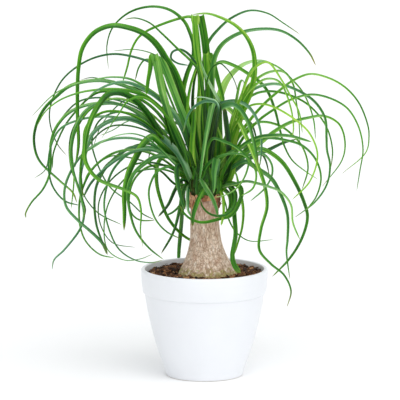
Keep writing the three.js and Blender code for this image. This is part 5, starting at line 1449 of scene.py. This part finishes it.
# Painted shade: the near black stops stand for the shade deep in the heart of the head.
core_green = core_finish.node("ValToRGB", {"stops": [
    (0.3, hue(18, 34, 8)),
    (0.5, hue(40, 66, 16)),
    (0.62, hue(84, 84, 34)),
    (0.75, hue(122, 88, 54)),
]}, {0: core_tone})
packed_bases = core_finish.coat_with({
    "Base Color": core_green,
    "Roughness": 0.8,
    "Normal": core_finish.bump(core_fibres, 0.6, 0.0012),
    "Specular IOR Level": 0.25,
})
core_outline = [(0, CORE_OUTLINE[0][1])]
core_outline += [(radius - 0.6, z) for radius, z in CORE_OUTLINE[:-1]] + [(0, CORE_OUTLINE[-1][1] - 1)]
add_piece("packed_core", *turned(core_outline, 96), packed_bases, "leaf_head", "leaf")

# %% [markdown]
# ## The dry leaf bases
# Old leaves are pulled off or wither, and their torn papery bases stay round the neck, brown and
# orange. Each one is a short clasping blade again, with a ragged end that curls outward. They stand in
# tiers and are thickest on the right and on the left, where old leaves came away last.

# %% The torn bases
NECK_RADIUS = 16.9
BARE_SHARE = 0.62
TATTER_TIERS = 4
TATTERS_IN_TIER = 17
TATTER_SEED = 77
TATTER_THICKNESS = 0.35
TATTER_BOWS = [0.5, 0.4, 0.3, 0.2, 0.1]
TATTER_ROOT_Z = 200.5
TIER_RISE = 3.6

dice = np.random.default_rng(TATTER_SEED)
tatters = []
for tier in range(TATTER_TIERS):
    for i in range(TATTERS_IN_TIER):
        bearing = (i + dice.uniform(-0.3, 0.3)) * 2 * math.pi / TATTERS_IN_TIER + tier * 0.7
        if tier < 3 and abs(math.cos(bearing)) < BARE_SHARE - 0.1 * tier:
            continue
        root_z = TATTER_ROOT_Z + TIER_RISE * tier + dice.uniform(-1, 1)
        length = dice.uniform(5.5, 12)
        lift = dice.uniform(0.5, 3.2)
        stops = [(0, 0.5), (0.35, 0.9 + 0.2 * lift), (0.7, 1.1 + 0.7 * lift), (1, 1.2 + 1.3 * lift)]
        points = [ring_point(bearing + 0.03 * k * dice.normal(), NECK_RADIUS + out, root_z + length * up)
                  for k, (up, out) in enumerate(stops)]
        points = np.array(points) + [float(stem_lean(root_z)), 0, 0]
        half = dice.uniform(2.2, 3.9)
        narrowing = [dice.uniform(0.8, 1.1), dice.uniform(0.5, 0.9), dice.uniform(0.2, 0.6)]
        halves = [half, *(half * share for share in narrowing), 0.3]
        made = clasping(points, halves, TATTER_BOWS, TATTER_THICKNESS)
        own = {"tone": dice.uniform(), "seed": dice.uniform()}
        tatters.append((made, own))
print(len(tatters), "torn bases")

# %% [markdown]
# ## Papery finish
# Dry sheath is rust brown with straw-coloured fibres that run up it, and darker at its torn end. It is
# rough and has no gloss at all.

# %% The papery finish and the torn bases
paper = Finish("papery_dry_base")
fibre_sockets = {0: paper.stored("strip"), 1: paper.stored("run") * 0.08, 2: paper.stored("seed") * 60}
fibre_place = paper.node("CombineXYZ", {}, fibre_sockets)
fibres = paper.grain(fibre_place, 2.6, detail=4, roughness=0.65)
paper_tone = paper.stored("tone") * 0.55 + fibres * 0.45
straw = paper.node("ValToRGB", {"stops": [
    (0.15, hue(112, 70, 46)),
    (0.42, hue(172, 118, 82)),
    (0.64, hue(208, 156, 114)),
    (0.88, hue(234, 200, 164)),
]}, {0: paper_tone})
torn = paper.mix(paper.band(paper.stored("along"), 0.7, 1.0) * 0.4, straw, hue(104, 58, 34))
papery = paper.coat_with({
    "Base Color": torn,
    "Roughness": 0.75 + fibres * 0.2,
    "Normal": paper.bump(fibres, 0.6, 0.0005),
    "Specular IOR Level": 0.2,
})
join_blades("torn_leaf_bases", tatters, papery, "dry_leaf_bases", "dry_sheath")

# %% [markdown]
# ## Floor and light
# The plant stands on a plain white floor that runs far back, so that no edge of it is seen. The light is
# that of a white tent. Its far side, behind the plant, is bright, so that the background is white, and
# its near side is dim, so that the pot and the stem keep some shade. A sun as broad as a large window
# stands high in front, a little to the right. A hard sun would throw a hundred sharp leaf shadows, and
# separate lamps would each need a place and a size. The picture's tones are kept plain, so that white
# stays white.

# %% The stage
FLOOR_SIZE = 60
FRONT_LIGHT = 0.3
BACK_LIGHT = 1.0
DAY_LIGHT = 2.1
DAY_SPREAD = math.radians(78)
DAY_FROM = Vector((0.2, -0.62, 0.8))
FLOOR_GLOW = 0.01

floor_finish = Finish("pale_floor")
veil = floor_finish.grain(floor_finish.place(), 3, detail=1)
pale_floor = floor_finish.coat_with({
    "Base Color": floor_finish.mix(veil, (0.93, 0.93, 0.93), (0.96, 0.96, 0.96)),
    "Roughness": 0.85,
    "Specular IOR Level": 0.2,
    "Emission Color": (1, 1, 1, 1),
    "Emission Strength": FLOOR_GLOW,
})
half = FLOOR_SIZE / 2
floor_mesh = bpy.data.meshes.new("pale_floor")
floor_corners = [(-half, -half, 0), (half, -half, 0), (half, half, 0), (-half, half, 0)]
floor_mesh.from_pydata(floor_corners, [], [(0, 1, 2, 3)])
floor_mesh.materials.append(pale_floor)
floor = bpy.data.objects.new("pale_floor", floor_mesh)
bpy.context.collection.objects.link(floor)
floor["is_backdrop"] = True

day = bpy.data.lights.new("soft_day", "SUN")
day.energy = DAY_LIGHT
day.angle = DAY_SPREAD
lamp = bpy.data.objects.new("soft_day", day)
lamp.rotation_euler = DAY_FROM.to_track_quat("Z", "Y").to_euler()
bpy.context.collection.objects.link(lamp)

world = bpy.data.worlds.new("white_tent")
world.use_nodes = True
tent = world.node_tree.nodes
outlook = tent.new("ShaderNodeTexCoord")
ways = tent.new("ShaderNodeSeparateXYZ")
depth_light = tent.new("ShaderNodeMapRange")
depth_light.inputs["From Min"].default_value = -1
depth_light.inputs["To Min"].default_value = FRONT_LIGHT
depth_light.inputs["To Max"].default_value = BACK_LIGHT
tent["Background"].inputs["Color"].default_value = (0.96, 0.98, 1.0, 1)
for outlet, inlet in (
    (outlook.outputs["Generated"], ways.inputs[0]),
    (ways.outputs["Y"], depth_light.inputs["Value"]),
    (depth_light.outputs["Result"], tent["Background"].inputs["Strength"]),
):
    world.node_tree.links.new(outlet, inlet)
bpy.context.scene.world = world
bpy.context.scene.view_settings.view_transform = "Standard"
print(f"The tent shines at {FRONT_LIGHT} in front and {BACK_LIGHT} behind, the soft sun at {DAY_LIGHT}")

# %% [markdown]
# ## The boxes at the end
# The dressed plant has to stay inside the solid model's box, but for a hair. Both boxes are written down
# side by side.

# %% The two boxes
new_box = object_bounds()
for title, (low, high) in (("Solid model", CAD_BOX), ("Dressed plant", new_box)):
    print(title, [round(1000 * value, 1) for value in (*low, *high)])
